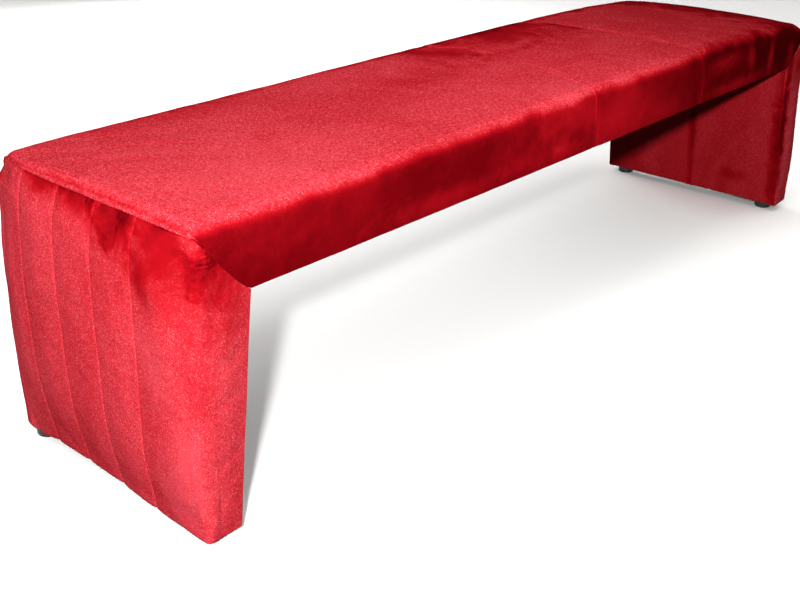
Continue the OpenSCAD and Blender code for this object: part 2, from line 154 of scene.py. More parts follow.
def turnIn(grid, borders, normal=None):
    # rolls borders inwards and adds the allowance behind them
    # borders: "low"/"high" rows or "left"/"right" columns -> (radius, allowance)
    normal = gridNormals(grid) if normal is None else normal
    axes = {"low": (0, False), "high": (0, True), "left": (1, False), "right": (1, True)}
    depth = np.zeros(grid.shape[:2])
    for name, (radius, allowance) in borders.items():
        axis, atEnd = axes[name]
        depth = np.maximum(depth, roundedIn(edgeDistance(grid, axis, atEnd), radius))
    rolled = grid - normal * depth[..., None]
    for name in ("left", "right", "low", "high"):
        if name not in borders or np.max(borders[name][1]) <= 0:
            continue
        axis, atEnd = axes[name]
        edge = np.take(rolled, -1 if atEnd else 0, axis=axis)
        inward = np.take(normal, -1 if atEnd else 0, axis=axis)
        allowance = np.broadcast_to(np.asarray(borders[name][1], float), (len(edge),))
        bands = [edge - inward * (allowance * share)[:, None] for share in (0.3, 0.65, 1.0)]
        if not atEnd:
            bands = bands[::-1]
        bands = np.stack(bands, axis=axis)
        rolled = np.concatenate([rolled, bands] if atEnd else [bands, rolled], axis=axis)
        normalBands = np.repeat(np.expand_dims(inward, axis), 3, axis=axis)
        normal = np.concatenate([normal, normalBands] if atEnd else [normalBands, normal], axis=axis)
        # allowances added later need the same width
        for other in borders:
            value = borders[other][1]
            if axes[other][0] != axis and np.ndim(value) == 1:
                pad = [value[-1:]] * 3 if atEnd else [value[:1]] * 3
                joined = [value] + pad if atEnd else pad + [value]
                borders[other] = (borders[other][0], np.concatenate(joined))
    return rolled


def quadFaces(rows, cols, first=0, turned=False):
    i, j = np.meshgrid(np.arange(rows - 1), np.arange(cols - 1), indexing="ij")
    a = first + (i * cols + j).ravel()
    quads = np.stack([a, a + 1, a + cols + 1, a + cols], axis=1)
    return quads[:, ::-1] if turned else quads


def meshObject(name, points, faces, finish, sharpAngle=50):
    mesh = bpy.data.meshes.new(name)
    mesh.from_pydata(points.reshape(-1, 3).tolist(), [], [list(map(int, f)) for f in faces])
    mesh.validate()
    mesh.update()
    mesh.polygons.foreach_set("use_smooth", [True] * len(mesh.polygons))
    mesh.set_sharp_from_angle(angle=math.radians(sharpAngle))
    made = bpy.data.objects.new(name, mesh)
    scene.collection.objects.link(made)
    made.data.materials.append(finish)
    return made


def closedSheet(outer, inner):
    # points and faces of the closed body between two grids of the same size
    rows, cols = outer.shape[:2]
    n = rows * cols
    faces = [quadFaces(rows, cols), quadFaces(rows, cols, n, turned=True)]
    rim = []
    top = list(range(cols))
    bottom = [(rows - 1) * cols + j for j in range(cols)]
    left = [i * cols for i in range(rows)]
    right = [i * cols + cols - 1 for i in range(rows)]
    for line, turned in ((top, False), (bottom, True), (left, True), (right, False)):
        for a, b in zip(line, line[1:]):
            quad = [b, a, a + n, b + n]
            rim.append(quad[::-1] if turned else quad)
    points = np.concatenate([outer.reshape(-1, 3), inner.reshape(-1, 3)])
    return points, np.concatenate(faces + [np.array(rim)])


def clothPiece(name, outer, finish, thick=bench["coverThick"]):
    inner = outer - gridNormals(outer, 1) * thick
    return meshObject(name, *closedSheet(outer, inner), finish)


def mirroredGrid(grid):
    # the other end of the bench; the columns are turned round so that the outside stays outside
    return grid[:, ::-1] * np.array([-1.0, 1.0, 1.0])


def onSide(side, grid):
    # the legs are drawn at +X
    return mirroredGrid(grid) if side == "left" else grid


def evened(field, reach):
    # running mean over that many cells each way
    for axis in (0, 1):
        margins = [(reach + 1, reach) if k == axis else (0, 0) for k in (0, 1)]
        padded = np.pad(field, margins, mode="edge")
        total = np.cumsum(padded, axis=axis)
        count = field.shape[axis]
        field = (np.take(total, range(2 * reach + 1, 2 * reach + 1 + count), axis=axis)
                 - np.take(total, range(count), axis=axis)) / (2 * reach + 1)
    return field


def settle(name, grid, hold, pressure, slack, cap, frames=20):
    # Cloth: the cover, a little too large, is blown out against what holds it.
    # Returns the folds that it takes, as heights; its broad form stays that of the padding.
    rows, cols = grid.shape[:2]
    mesh = bpy.data.meshes.new(name)
    mesh.from_pydata(grid.reshape(-1, 3).tolist(), [], quadFaces(rows, cols).tolist())
    trial = bpy.data.objects.new(name, mesh)
    scene.collection.objects.link(trial)
    group = trial.vertex_groups.new(name="hold")
    level = np.round(hold.ravel(), 2)
    for value in np.unique(level):
        if value > 0:
            group.add(np.nonzero(level == value)[0].tolist(), float(value), "REPLACE")
    cloth = trial.modifiers.new("Cloth", "CLOTH")
    settings = cloth.settings
    settings.quality = 6
    settings.mass = 0.25
    settings.tension_stiffness = 25
    settings.compression_stiffness = 25
    settings.shear_stiffness = 8
    settings.bending_stiffness = 0.6
    settings.use_pressure = True
    settings.uniform_pressure_force = pressure
    settings.shrink_min = -slack
    settings.vertex_group_mass = "hold"
    settings.effector_weights.gravity = 0
    cloth.collision_settings.use_collision = False
    cloth.point_cache.frame_start = 1
    cloth.point_cache.frame_end = frames
    for step in range(1, frames + 1):
        scene.frame_set(step)
    seen = trial.evaluated_get(bpy.context.evaluated_depsgraph_get()).to_mesh()
    settled = np.zeros(len(seen.vertices) * 3)
    seen.vertices.foreach_get("co", settled)
    scene.frame_set(1)
    bpy.data.objects.remove(trial)
    height = np.sum((settled.reshape(grid.shape) - grid) * gridNormals(grid, 1), axis=2)
    folds = height - evened(evened(height, 4), 4)
    print("settled", name, "folds %.1f to %.1f mm" % (folds.min() * 1000, folds.max() * 1000))
    return np.clip(folds, -bench["padGap"], cap)


# materials

fromTo = ("From Min", "From Max", "To Min", "To Max")


def linear(hexColour):
    # sRGB hex to Blender's linear colour
    parts = [int(hexColour[i:i + 2], 16) / 255 for i in (1, 3, 5)]
    return [c / 12.92 if c <= 0.04045 else ((c + 0.055) / 1.055) ** 2.4 for c in parts] + [1.0]


def setNode(tree, node, settings, links):
    # a number or name picks the input socket, and several names take several values
    for key, value in settings.items():
        if isinstance(key, tuple):
            for name, part in zip(key, value):
                node.inputs[name].default_value = part
        elif isinstance(key, str) and hasattr(node, key):
            setattr(node, key, value)
        else:
            node.inputs[key].default_value = value
    for key, source in links.items():
        # a whole node as the source means its first output
        tree.links.new(getattr(source, "outputs", [source])[0], node.inputs[key])


def addNode(tree, kind, settings={}, links={}, stops=()):
    # one node with its settings and links, and the colours of a ramp as (place, colour)
    node = tree.nodes.new("ShaderNode" + kind)
    setNode(tree, node, settings, links)
    for k, (at, colour) in enumerate(stops):
        elements = node.color_ramp.elements
        if k == 0:
            elements.remove(elements[-1])
        element = elements[0] if k == 0 else elements.new(at)
        element.position = at
        element.color = linear(colour) if isinstance(colour, str) else colour
    return node


def newMaterial(name):
    made = bpy.data.materials.new(name)
    made.use_nodes = True
    tree = made.node_tree
    tree.nodes.clear()
    shader = addNode(tree, "BsdfPrincipled")
    addNode(tree, "OutputMaterial", links={"Surface": shader})
    return made, tree, shader, addNode(tree, "TexCoord").outputs


# tones of the velvet's colour, from the darkest painted shade to the palest painted highlight
velvetLook = {
    "endOn": "#520206",       # painted shade, the darkest: pile seen from its end, which swallows the light
    "deep": "#6F030A",        # painted shade: pile lying away from the light
    "glow": "#AA0D18",        # half turned: bright, still full of colour, between painted shade and painted light
    "lit": "#C72833",         # painted light: pile brushed towards the light
    # painted highlight, the palest: the pile's tips
    "tips": "#DD434F",
    "speck": "#FF989C",       # painted glints: single fibres that glint
    "patch": 0.16,            # size of a brushed patch
    "ragged": 0.045,          # edges of the patches
    "mark": 0.035,            # finger marks
    "fibre": 0.0015,          # the pile itself is 0.3 mm; drawn coarser so that it shows
    "clump": 0.0045,
    "sheen": 0.05,
}


def velvet(name, topTone, sideTone, patchShare, clumpShare, glintSize, patchesAndPaintedLight,
           brushed=(1, 1, 1), shade=1.0, glints=0.9, ends=0.0):
    # polyester velvet, woven and cut: short dense pile. Its tone is painted light and shade, paler or deeper
    # by which way each surface faces, with soft brushed patches, finger marks and painted glints on single
    # fibres
    look = velvetLook
    made, tree, shader, coords = newMaterial(name)
    turn = (0.7, 0.5, 0.9)      # so that no layer of the noise lies level with a face
    turned = addNode(tree, "Mapping", {"Rotation": turn}, {0: coords["Object"]})
    stretched = addNode(tree, "Mapping", {"Scale": brushed, "Rotation": turn}, {0: coords["Object"]})
    patches = addNode(tree, "TexNoise", {"Scale": 1 / look["patch"], "Detail": 4.0, "Roughness": 0.55,
                                         "Distortion": 0.9}, {"Vector": stretched})
    marks = addNode(tree, "TexNoise", {"Scale": 1 / look["mark"], "Detail": 3.0, "Distortion": 0.6},
                    {"Vector": stretched})
    fibres = addNode(tree, "TexNoise", {"Scale": 1 / look["fibre"], "Detail": 2.0, "Roughness": 0.7},
                     {"Vector": turned})
    clumps = addNode(tree, "TexNoise", {"Scale": 1 / look["clump"], "Detail": 2.0, "Roughness": 0.6},
                     {"Vector": turned})
    edges = addNode(tree, "TexNoise", {"Scale": 1 / look["ragged"], "Detail": 6.0, "Roughness": 0.70,
                                       "Distortion": 0.5}, {"Vector": turned})
    # tone from 0, deep, to 1, pale: painted light and shade from how far the surface faces up or towards the
    # ends, then patches and marks
    facing = addNode(tree, "SeparateXYZ", links={0: coords["Normal"]})
    sideways = addNode(tree, "Math", {"operation": "ABSOLUTE"}, {0: facing})
    where = addNode(tree, "SeparateXYZ", links={0: coords["Object"]})
    along = addNode(tree, "Math", {"operation": "ABSOLUTE"}, {0: where})
    nearEnd = addNode(tree, "MapRange", {fromTo: (0.855, 0.880, 0.0, ends)}, {0: along})
    atEnds = addNode(tree, "Math", {"operation": "MULTIPLY"}, {0: sideways, 1: nearEnd})
    upright = addNode(tree, "Math", {"operation": "MAXIMUM"}, {0: facing.outputs[2], 1: atEnds})
    wobble = addNode(tree, "Math", {"operation": "MULTIPLY_ADD", 1: 0.6, 2: -0.3}, {0: patches})
    upward = addNode(tree, "Math", {"operation": "ADD"}, {0: upright, 1: wobble})
    base = addNode(tree, "MapRange", {"interpolation_type": "SMOOTHSTEP",
                                      fromTo: (0.30, 0.92, sideTone, topTone)}, {0: upward})
    parts = [addNode(tree, "MapRange", {"interpolation_type": "SMOOTHSTEP",
                                        fromTo: (0.36, 0.64, -patchShare, patchShare)}, {0: patches}),
             addNode(tree, "MapRange", {fromTo: (0.3, 0.7, -patchShare / 3, patchShare / 3)}, {0: marks})]
    for centre, size, amount in patchesAndPaintedLight:
        # a patch with a ragged edge: some are pile turned by a hand, the rest are painted light and painted
        # shade
        around = addNode(tree, "Mapping", {"Location": [-c / s for c, s in zip(centre, size)],
                                           "Scale": [1 / s for s in size]}, {0: coords["Object"]})
        reach = addNode(tree, "VectorMath", {"operation": "LENGTH"}, {0: around})
        ragged = addNode(tree, "Math", {"operation": "MULTIPLY_ADD", 1: 1.7},
                         {0: edges, 2: reach.outputs["Value"]})
        parts.append(addNode(tree, "MapRange", {"interpolation_type": "SMOOTHSTEP",
                                                fromTo: (0.8, 2.05, amount, 0.0)}, {0: ragged}))
    for part in parts:
        base = addNode(tree, "Math", {"operation": "ADD"}, {0: base, 1: part})
    # single fibres show where the pile lies to the light, not where it is deep
    fibreTone = addNode(tree, "MapRange", {fromTo: (0.3, 0.7, -0.18, 0.18)}, {0: fibres})
    clumpTone = addNode(tree, "MapRange", {fromTo: (0.3, 0.7, -clumpShare, clumpShare)}, {0: clumps})
    lit = addNode(tree, "MapRange", {fromTo: (0.45, 0.8, 0.12, 1.0)}, {0: base})
    grain = addNode(tree, "Math", {"operation": "ADD"}, {0: fibreTone, 1: clumpTone})
    total = addNode(tree, "Math", {"operation": "MULTIPLY_ADD"}, {0: grain, 1: lit, 2: base})
    states = ((0.0, "endOn"), (0.16, "deep"), (0.50, "glow"), (0.78, "lit"), (1.0, "tips"))
    colour = addNode(tree, "ValToRGB", links={0: total}, stops=[
        (at, [c * shade for c in linear(look[state])[:3]] + [1.0]) for at, state in states])
    # painted glints: a few tufts are painted as pale specks, and only where the tone is painted lit
    tufts = addNode(tree, "TexVoronoi", {"Scale": 1 / glintSize, "Randomness": 1.0}, {"Vector": turned})
    chance = addNode(tree, "SeparateColor", links={0: tufts.outputs["Color"]})
    rare = addNode(tree, "Math", {"operation": "POWER", 1: 6.0}, {0: chance})
    point = addNode(tree, "MapRange", {fromTo: (0.2, 0.55, 1.0, 0.0)}, {0: tufts.outputs["Distance"]})
    bright = addNode(tree, "Math", {"operation": "MULTIPLY"}, {0: rare, 1: point})
    lying = addNode(tree, "MapRange", {fromTo: (0.5, 0.85, 0.0, glints)}, {0: base})
    glint = addNode(tree, "Math", {"operation": "MULTIPLY"}, {0: bright, 1: lying})
    sparkle = addNode(tree, "Mix", {"data_type": "RGBA", 7: linear(look["speck"])}, {0: glint, 6: colour})
    rough = addNode(tree, "MapRange", {fromTo: (0.3, 0.7, 0.72, 0.92)}, {0: fibres})
    raised = addNode(tree, "Math", {"operation": "MULTIPLY", 1: 0.35}, {0: lit})
    pile = addNode(tree, "Bump", {"Distance": 0.0006}, {"Strength": raised, "Height": fibres})
    brush = addNode(tree, "Bump", {"Strength": 0.25, "Distance": 0.003}, {"Height": marks, "Normal": pile})
    setNode(tree, shader, {
        "IOR": 1.5,
        "Specular IOR Level": 0.0,      # the pile swallows the mirror-like part
        "Sheen Weight": look["sheen"],
        "Sheen Roughness": 0.35,
        "Sheen Tint": linear("#FF3A48"),
    }, {"Base Color": sparkle.outputs[2], "Roughness": rough, "Normal": brush})
    return made


def woven(name, light, dark, thread, rough, bump):
    # plain weave of that thread spacing: two crossed sets of threads, a little uneven
    made, tree, shader, coords = newMaterial(name)
    warp, weft = (addNode(tree, "TexWave", {"bands_direction": axis, "Scale": 0.314 / thread,
                                            "Distortion": 0.6, "Detail": 1.0}, {"Vector": coords["Object"]})
                  for axis in "XY")
    weave = addNode(tree, "Math", {"operation": "MAXIMUM"}, {0: warp.outputs[1], 1: weft.outputs[1]})
    slub = addNode(tree, "TexNoise", {"Scale": 1 / (thread * 9), "Detail": 4.0}, {"Vector": coords["Object"]})
    mixed = addNode(tree, "Math", {"operation": "MULTIPLY"}, {0: weave, 1: slub})
    colour = addNode(tree, "ValToRGB", links={0: mixed}, stops=[(0.1, dark), (0.6, light)])
    raised = addNode(tree, "Bump", {"Strength": bump, "Distance": thread / 3}, {"Height": weave})
    setNode(tree, shader, {"Roughness": rough, "Specular IOR Level": 0.2},
            {"Base Color": colour, "Normal": raised})
    return made


def speckled(name, light, dark, grain, rough, bump, ior=1.5, metallic=0.0):
    # uneven solid stuff: foam cells, felted fibres, pressed board, plated or moulded surfaces
    made, tree, shader, coords = newMaterial(name)
    fine = addNode(tree, "TexNoise", {"Scale": 1 / grain, "Detail": 5.0, "Roughness": 0.65},
                   {"Vector": coords["Object"]})
    broad = addNode(tree, "TexNoise", {"Scale": 1 / (grain * 14), "Detail": 2.0},
                    {"Vector": coords["Object"]})
    both = addNode(tree, "Math", {"operation": "MULTIPLY_ADD", 1: 0.4}, {0: broad, 2: fine})
    colour = addNode(tree, "ValToRGB", links={0: both}, stops=[(0.45, dark), (0.95, light)])
    smoothest, roughest = max(0.05, rough - 0.08), min(1.0, rough + 0.08)
    roughness = addNode(tree, "MapRange", {fromTo: (0.3, 0.7, smoothest, roughest)}, {0: fine})
    raised = addNode(tree, "Bump", {"Strength": bump, "Distance": grain / 2}, {"Height": fine})
    settings = {"Metallic": metallic}
    if not metallic:
        settings["IOR"] = ior
    setNode(tree, shader, settings, {"Base Color": colour, "Roughness": roughness, "Normal": raised})
    return made


def beechWood(name, along):
    # planed beech: straight fine grain along the piece with short dark flecks
    made, tree, shader, coords = newMaterial(name)
    scale = [3.0 if axis == along else 55.0 for axis in "XYZ"]
    run = addNode(tree, "Mapping", {"Scale": scale}, {0: coords["Object"]})
    grain = addNode(tree, "TexNoise", {"Scale": 3.0, "Detail": 5.0, "Distortion": 0.4}, {"Vector": run})
    flecks = addNode(tree, "TexNoise", {"Scale": 22.0, "Detail": 1.0}, {"Vector": run})
    fleck = addNode(tree, "MapRange", {fromTo: (0.62, 0.7, 0.0, 0.25)}, {0: flecks})
    darker = addNode(tree, "Math", {"operation": "SUBTRACT"}, {0: grain, 1: fleck})
    colour = addNode(tree, "ValToRGB", links={0: darker},
                     stops=[(0.2, "#9A6E3E"), (0.5, "#C39A63"), (0.8, "#D8B581")])
    raised = addNode(tree, "Bump", {"Strength": 0.2, "Distance": 0.0004}, {"Height": grain})
    setNode(tree, shader, {"Roughness": 0.55}, {"Base Color": colour, "Normal": raised})
    return made


# patches of turned pile and of painted light and shade: (centre, size, how much paler or deeper)
# painted shade along the rear top edge, where the surface turns away from the light
rearRimShade = ((0.7, 0.235, 0.462), (1.8, 0.060, 0.040), -0.9)
# on the seat: painted light at the near end and on the front faces, painted shade at the far end and along
# the far front edge, and darker patches of turned pile
seatPatchesAndPaintedLight = {
    "left": [
        ((-0.75, -0.12, 0.46), (0.30, 0.20, 0.10), 0.14), ((0.0, -0.18, 0.46), (0.24, 0.09, 0.04), 0.10),
        ((0.01, 0.14, 0.46), (0.13, 0.13, 0.05), -0.34), ((-0.14, 0.03, 0.46), (0.24, 0.06, 0.04), -0.14),
        ((-0.60, 0.17, 0.46), (0.18, 0.06, 0.04), -0.12), ((-0.05, -0.225, 0.425), (0.20, 0.05, 0.045), 0.30),
        ((-0.42, -0.225, 0.372), (0.20, 0.05, 0.024), 0.24),
        ((-0.19, -0.225, 0.385), (0.13, 0.05, 0.040), 0.12),
        ((-0.10, -0.225, 0.372), (0.10, 0.05, 0.020), 0.18), rearRimShade],
    "middle": [
        ((0.23, 0.17, 0.46), (0.30, 0.16, 0.08), -0.36), ((0.385, 0.11, 0.46), (0.020, 0.10, 0.04), -0.20),
        ((0.45, 0.0, 0.46), (0.4, 0.5, 0.2), -0.10), ((0.08, -0.225, 0.400), (0.16, 0.05, 0.07), 0.26),
        ((0.24, -0.225, 0.375), (0.09, 0.05, 0.03), 0.18), rearRimShade],
    "right": [
        ((0.75, 0.0, 0.46), (0.6, 0.6, 0.25), -0.14), ((0.905, 0.0, 0.45), (0.190, 0.60, 0.10), -0.66),
        ((0.90, 0.21, 0.45), (0.22, 0.14, 0.08), -0.45), ((0.46, -0.21, 0.450), (0.15, 0.03, 0.024), -0.40),
        ((0.66, -0.21, 0.435), (0.06, 0.03, 0.055), -0.46), ((0.77, -0.21, 0.42), (0.055, 0.03, 0.06), -0.42),
        ((0.50, -0.225, 0.425), (0.08, 0.03, 0.03), 0.36),
        ((0.615, -0.225, 0.415), (0.028, 0.03, 0.034), 0.45),
        ((0.715, -0.225, 0.40), (0.018, 0.03, 0.045), 0.50),
        ((0.82, -0.225, 0.395), (0.026, 0.03, 0.05), 0.45),
        ((0.55, -0.225, 0.366), (0.16, 0.03, 0.018), 0.34), rearRimShade],
}
# on the legs: painted shade under the end seam's lip and along the far leg's front edges, painted light on
# the near leg's rear strip and foot, and a few turned patches
legPatchesAndPaintedLight = [
    ((-0.915, 0.09, 0.455), (0.08, 0.06, 0.030), -0.42), ((-0.915, 0.01, 0.455), (0.08, 0.06, 0.048), -0.46),
    ((-0.915, -0.07, 0.45), (0.08, 0.06, 0.066), -0.48),
    ((-0.915, -0.165, 0.425), (0.08, 0.10, 0.125), -0.42),
    ((-0.85, -0.23, 0.385), (0.09, 0.03, 0.095), -0.34),
    ((-0.895, -0.232, 0.425), (0.05, 0.04, 0.035), -0.18),
    ((-0.915, 0.195, 0.22), (0.08, 0.05, 0.30), 0.12), ((-0.90, -0.225, 0.23), (0.03, 0.02, 0.07), -0.16),
    ((-0.905, -0.20, 0.09), (0.05, 0.06, 0.12), 0.22), ((-0.915, -0.15, 0.27), (0.05, 0.05, 0.08), 0.10),
    ((0.829, -0.225, 0.19), (0.022, 0.02, 0.30), -0.85), ((0.88, -0.225, 0.36), (0.05, 0.03, 0.07), -0.35)]
# on the inner faces: painted shade along the far leg's front edge, at the foot and in the upright seam
innerPatchesAndPaintedShade = [
    ((0.83, -0.225, 0.18), (0.05, 0.026, 0.26), -0.45), ((0.84, -0.12, 0.07), (0.03, 0.05, 0.02), -0.16),
    ((0.83, -0.004, 0.18), (0.05, 0.012, 0.24), -0.30)]
seatVelvets = {side: velvet("velvet_seat_" + side, topTone=0.82, sideTone=0.21, patchShare=0.04,
                            clumpShare=0.18, glintSize=0.0020, ends=0.88, patchesAndPaintedLight=patchesAndPaintedLight)
               for side, patchesAndPaintedLight in seatPatchesAndPaintedLight.items()}
# on the legs the upward-facing rolls under the seam are painted deep, as painted shade, and the sides pale,
# as painted light
legVelvet = velvet("velvet_legs", topTone=0.25, sideTone=0.83, patchShare=0.05, clumpShare=0.08,
                   glintSize=0.0014, brushed=(1, 1, 0.45), patchesAndPaintedLight=legPatchesAndPaintedLight)
# the inner faces are painted darker overall, as painted shade
innerVelvet = velvet("velvet_inner_faces", topTone=0.57, sideTone=0.62, patchShare=0.06, clumpShare=0.12,
                     glintSize=0.0020, brushed=(1, 1, 0.6), shade=0.74, glints=0.4, patchesAndPaintedLight=innerPatchesAndPaintedShade)
# twisted polyester: a soft shine in short lengths
thread = woven("polyester_thread", "#7A0C15", "#3E0207", 0.0006, 0.8, 0.4)
# cut from the block: open cells, quite matt; the fibres of the wadding lie loose and pale
foam = speckled("polyurethane_foam", "#EADFB2", "#CDBE8A", 0.0015, 0.95, 0.6)
wadding = speckled("polyester_wadding", "#F6F4EF", "#DDDAD2", 0.004, 0.97, 0.8)
# coarse spun jute, woven: hairy, uneven threads with dark gaps
jute = woven("jute_webbing", "#C6AA78", "#7C6238", 0.0024, 0.9, 0.8)
hessian = woven("jute_hessian", "#B79B6C", "#6B5430", 0.0018, 0.92, 0.8)
# fibres bonded by heat: a flat black felt
nonwoven = speckled("spunbond_polypropylene", "#2B2B2E", "#0E0E10", 0.0012, 0.8, 0.5)
# pressed wood fibres: brown flecks and a hard, dull face
board = speckled("hardboard", "#8A6140", "#5C3E26", 0.0011, 0.75, 0.3)
# plated: bluish grey with a faint cloudy shine
zinc = speckled("zinc_plated_steel", "#C2C5C8", "#9DA1A6", 0.0008, 0.32, 0.1, metallic=1.0)
# moulded: an even satin black
moulded = speckled("moulded_polypropylene", "#1B1B1D", "#101012", 0.0009, 0.42, 0.15, ior=1.49)
beechX, beechY, beechZ = (beechWood("beech_" + run, axis)
                          for run, axis in (("along_x", "X"), ("along_y", "Y"), ("upright", "Z")))
print("materials made:", len(bpy.data.materials))


# the seat: one padded surface, cut into three covers by two cross seams

seat = {
    "topShare": 0.613,          # share of the half width that is top, then the rounded edge ends
    "edgeShare": 0.761,
    "seams": (0.040, 0.390),
    "seamPathY": (-0.225, -0.178, -0.068, 0.049, 0.149, 0.181, 0.225),
    "seamPathX": ((0.002, 0.012, 0.049, 0.066, 0.060, 0.040, 0.030),
                  (0.395, 0.400, 0.405, 0.398, 0.390, 0.384, 0.380)),
    "seamReach": 0.26,          # how far a bent seam carries the cloth with it
    "twinStitch": 0.0055,       # rows of stitches each side of a cross seam
    "twinDepth": 0.0011,
    "lipFront": 0.0012,         # the end seam's overhang at the front and at the rear
    "lipRear": 0.0006,
    "lipDrop": 0.0009,          # it laps over the leg cover's edge, so that no padding shows between
    "step": 0.0065,             # of the mesh
    "flap": 0.026,              # turned in under the rails
    "mitreAllowance": 0.007,
    "cornerPullZ": (0.4180, 0.430, 0.441, 0.452),
    "cornerPull": (0.0, 0.0085, 0.0125, 0.0155),
    "threadDepth": 0.0008,
    "folding": 0.3,             # it is stretched tighter than the trial cloth
}


edgeSpan = seat["edgeShare"] - seat["topShare"]


def mitreHeight(x):
    # the seam on the front and rear faces, a little hollow as in the photograph
    share = np.clip((x - bench["innerTop"]) / (bench["halfLength"] - bench["innerTop"]), 0, 1)
    return bench["seatLow"] + (bench["seamHeight"] - bench["seatLow"]) * share**1.2


def seamTilt(y):
    return bench["seamTilt"] * y / bench["halfDepth"]


stance = {
    # how the padding stands in the photograph: full in the middle, hanging at the far end
    "alongX": (-0.90, -0.60, -0.30, 0.00, 0.30, 0.50, 0.70, 0.82, 0.90, 0.93),
    "rise": (0.0, 0.0, 0.0015, 0.0030, 0.0042, 0.0030, -0.0020, -0.0090, -0.0180, -0.0190),
    "spreadFar": 0.007,         # the legs' front edges stand forward at the foot
    "spreadNear": 0.002,
}


def easeCorners(grid):
    # the upper corners are pulled in by the upholstery, the near front one hardly
    x, y, z = grid[..., 0], grid[..., 1], grid[..., 2]
    near = smoothStep((np.abs(x) - 0.81) / 0.09) * smoothStep((np.abs(y) - 0.13) / 0.095)
    share = np.where(y > 0, np.where(x < 0, 1.0, 1.1), np.where(x < 0, 0.06, 0.66))
    rise = curveThrough(x, stance["alongX"], stance["rise"]) * np.clip((z - 0.36) / 0.09, 0, 1)
    size = share * near * curveThrough(z + rise, seat["cornerPullZ"], seat["cornerPull"])
    foot = smoothStep((np.abs(x) - 0.80) / 0.03) * smoothStep((-0.15 - y) / 0.07)
    foot = foot * (1 - smoothStep((z - 0.04) / 0.33))
    spread = np.where(x > 0, stance["spreadFar"], stance["spreadNear"]) * foot
    return grid + np.stack([-np.sign(x) * size, -np.sign(y) * size * 0.4 - spread, rise], axis=2)


def seatShape(u, t, sideDepth=0.0, endDepth=0.0, floorZ=0.0):
    # u is the distance along the surface from the middle, t runs from -1, front hem, to 1, rear hem
    u, t = np.meshgrid(u, t)
    turn = np.clip((np.abs(u) - turnX) / bench["endRadius"], 0, math.pi / 2)
    cosA, sinA = np.cos(turn), np.sin(turn)
    flat = np.minimum(np.abs(u), turnX)
    xOut = flat + bench["endRadius"] * sinA
    x = flat + (bench["endRadius"] - endDepth) * sinA
    drop = bench["crown"] * cosA
    top = bench["seamHeight"] + (bench["endDrop"] + bench["crown"] - sideDepth) * cosA
    turnY = np.where(t < 0, bench["frontTurn"], bench["rearTurn"])
    yHalf = bench["halfDepth"] - turnY + (turnY - sideDepth) * cosA
    yEdge = yHalf - bench["tuck"] * sinA
    yTop = yEdge - bench["edgeRadius"] + sideDepth
    low = np.maximum(mitreHeight(xOut), floorZ)
    rise = np.minimum(bench["edgeRadius"], bench["seamHeight"] + bench["endDrop"] * cosA - mitreHeight(xOut))
    rise = np.maximum(0, rise - sideDepth * cosA)
    away = np.abs(t)
    k = np.clip(away / seat["topShare"], 0, 1)
    e = np.clip((seat["edgeShare"] - away) / edgeSpan, 0, 1) * math.pi / 2
    s = np.clip((away - seat["edgeShare"]) / (1 - seat["edgeShare"]), 0, 1)
    onTop, onEdge = away <= seat["topShare"], away <= seat["edgeShare"]
    arcRadius = bench["edgeRadius"] - sideDepth
    faceY = yEdge * (1 - s) + yHalf * s
    faceZ = (top - drop - rise) * (1 - s) + low * s
    y = np.where(onTop, yTop * k, np.where(onEdge, yTop + arcRadius * np.cos(e), faceY))
    z = np.where(onTop, top - drop * k**2, np.where(onEdge, top - drop - rise * (1 - np.sin(e)), faceZ))
    z = z + seamTilt(np.sign(t) * y) * sinA**2
    return easeCorners(np.stack([np.sign(u) * x, np.sign(t) * y, z], axis=2))


def seatNormals(u, t):
    # outside direction of the same surface; it stays steady at the corners, where the rows meet
    u, t = np.meshgrid(u, t)
    turn = np.clip((np.abs(u) - turnX) / bench["endRadius"], 0, math.pi / 2)
    e = np.clip((seat["edgeShare"] - np.abs(t)) / edgeSpan, 0, 1) * math.pi / 2
    alongX = np.sign(u) * np.sin(turn)
    outside = np.stack([alongX, np.sign(t) * np.cos(turn) * np.cos(e), np.cos(turn) * np.sin(e)], axis=2)
    return outside / np.linalg.norm(outside, axis=2, keepdims=True)


def bendSeams(grid, u):
    # the cross seams don't run straight over the seat
    moved = grid.copy()
    for at, path in zip(seat["seams"], seat["seamPathX"]):
        pull = 1 - smoothStep(np.abs(u - at) / seat["seamReach"])
        moved[..., 0] += (curveThrough(grid[..., 1], seat["seamPathY"], path) - at) * pull[None, :]
    return moved


def lip(grid, u):
    # the top panel stands over the end seam, more towards the front
    over = smoothStep((np.abs(u) - turnX) / (seatReach - turnX) * 1.3 - 0.2)
    share = smoothStep((grid[..., 1] + bench["halfDepth"]) / (2 * bench["halfDepth"]))
    size = seat["lipFront"] * (1 - share) + seat["lipRear"] * share
    corner = smoothStep((bench["halfDepth"] - np.abs(grid[..., 1])) / 0.022)
    grid[..., 0] += np.sign(u)[None, :] * over[None, :] * size * corner
    grid[..., 2] -= seat["lipDrop"] * smoothStep((np.abs(u) - seatReach + 0.006) / 0.006)[None, :]
    return grid


def panelColumns(start, end, step, seamAtStart, seamAtEnd):
    # even columns, closer together beside a seam
    near = np.array([0, 5, 12, 25, 38, 47, 55, 63, 75, 95, 120]) / 10000
    low = start + near if seamAtStart else start + np.linspace(0, 0.028, 12)
    high = end - near[::-1] if seamAtEnd else end - np.linspace(0, 0.028, 12)[::-1]
    count = max(2, int((high[0] - low[-1]) / step))
    return np.concatenate([low, np.linspace(low[-1], high[0], count + 1)[1:-1], high])


def seatRows(step):
    width = 0.318
    side = np.concatenate([[1.0, 0.997, 0.991, 0.983, 0.972], np.arange(0.955, 0.0, -step / width)])
    return np.concatenate([-side, [0.0], side[::-1]])


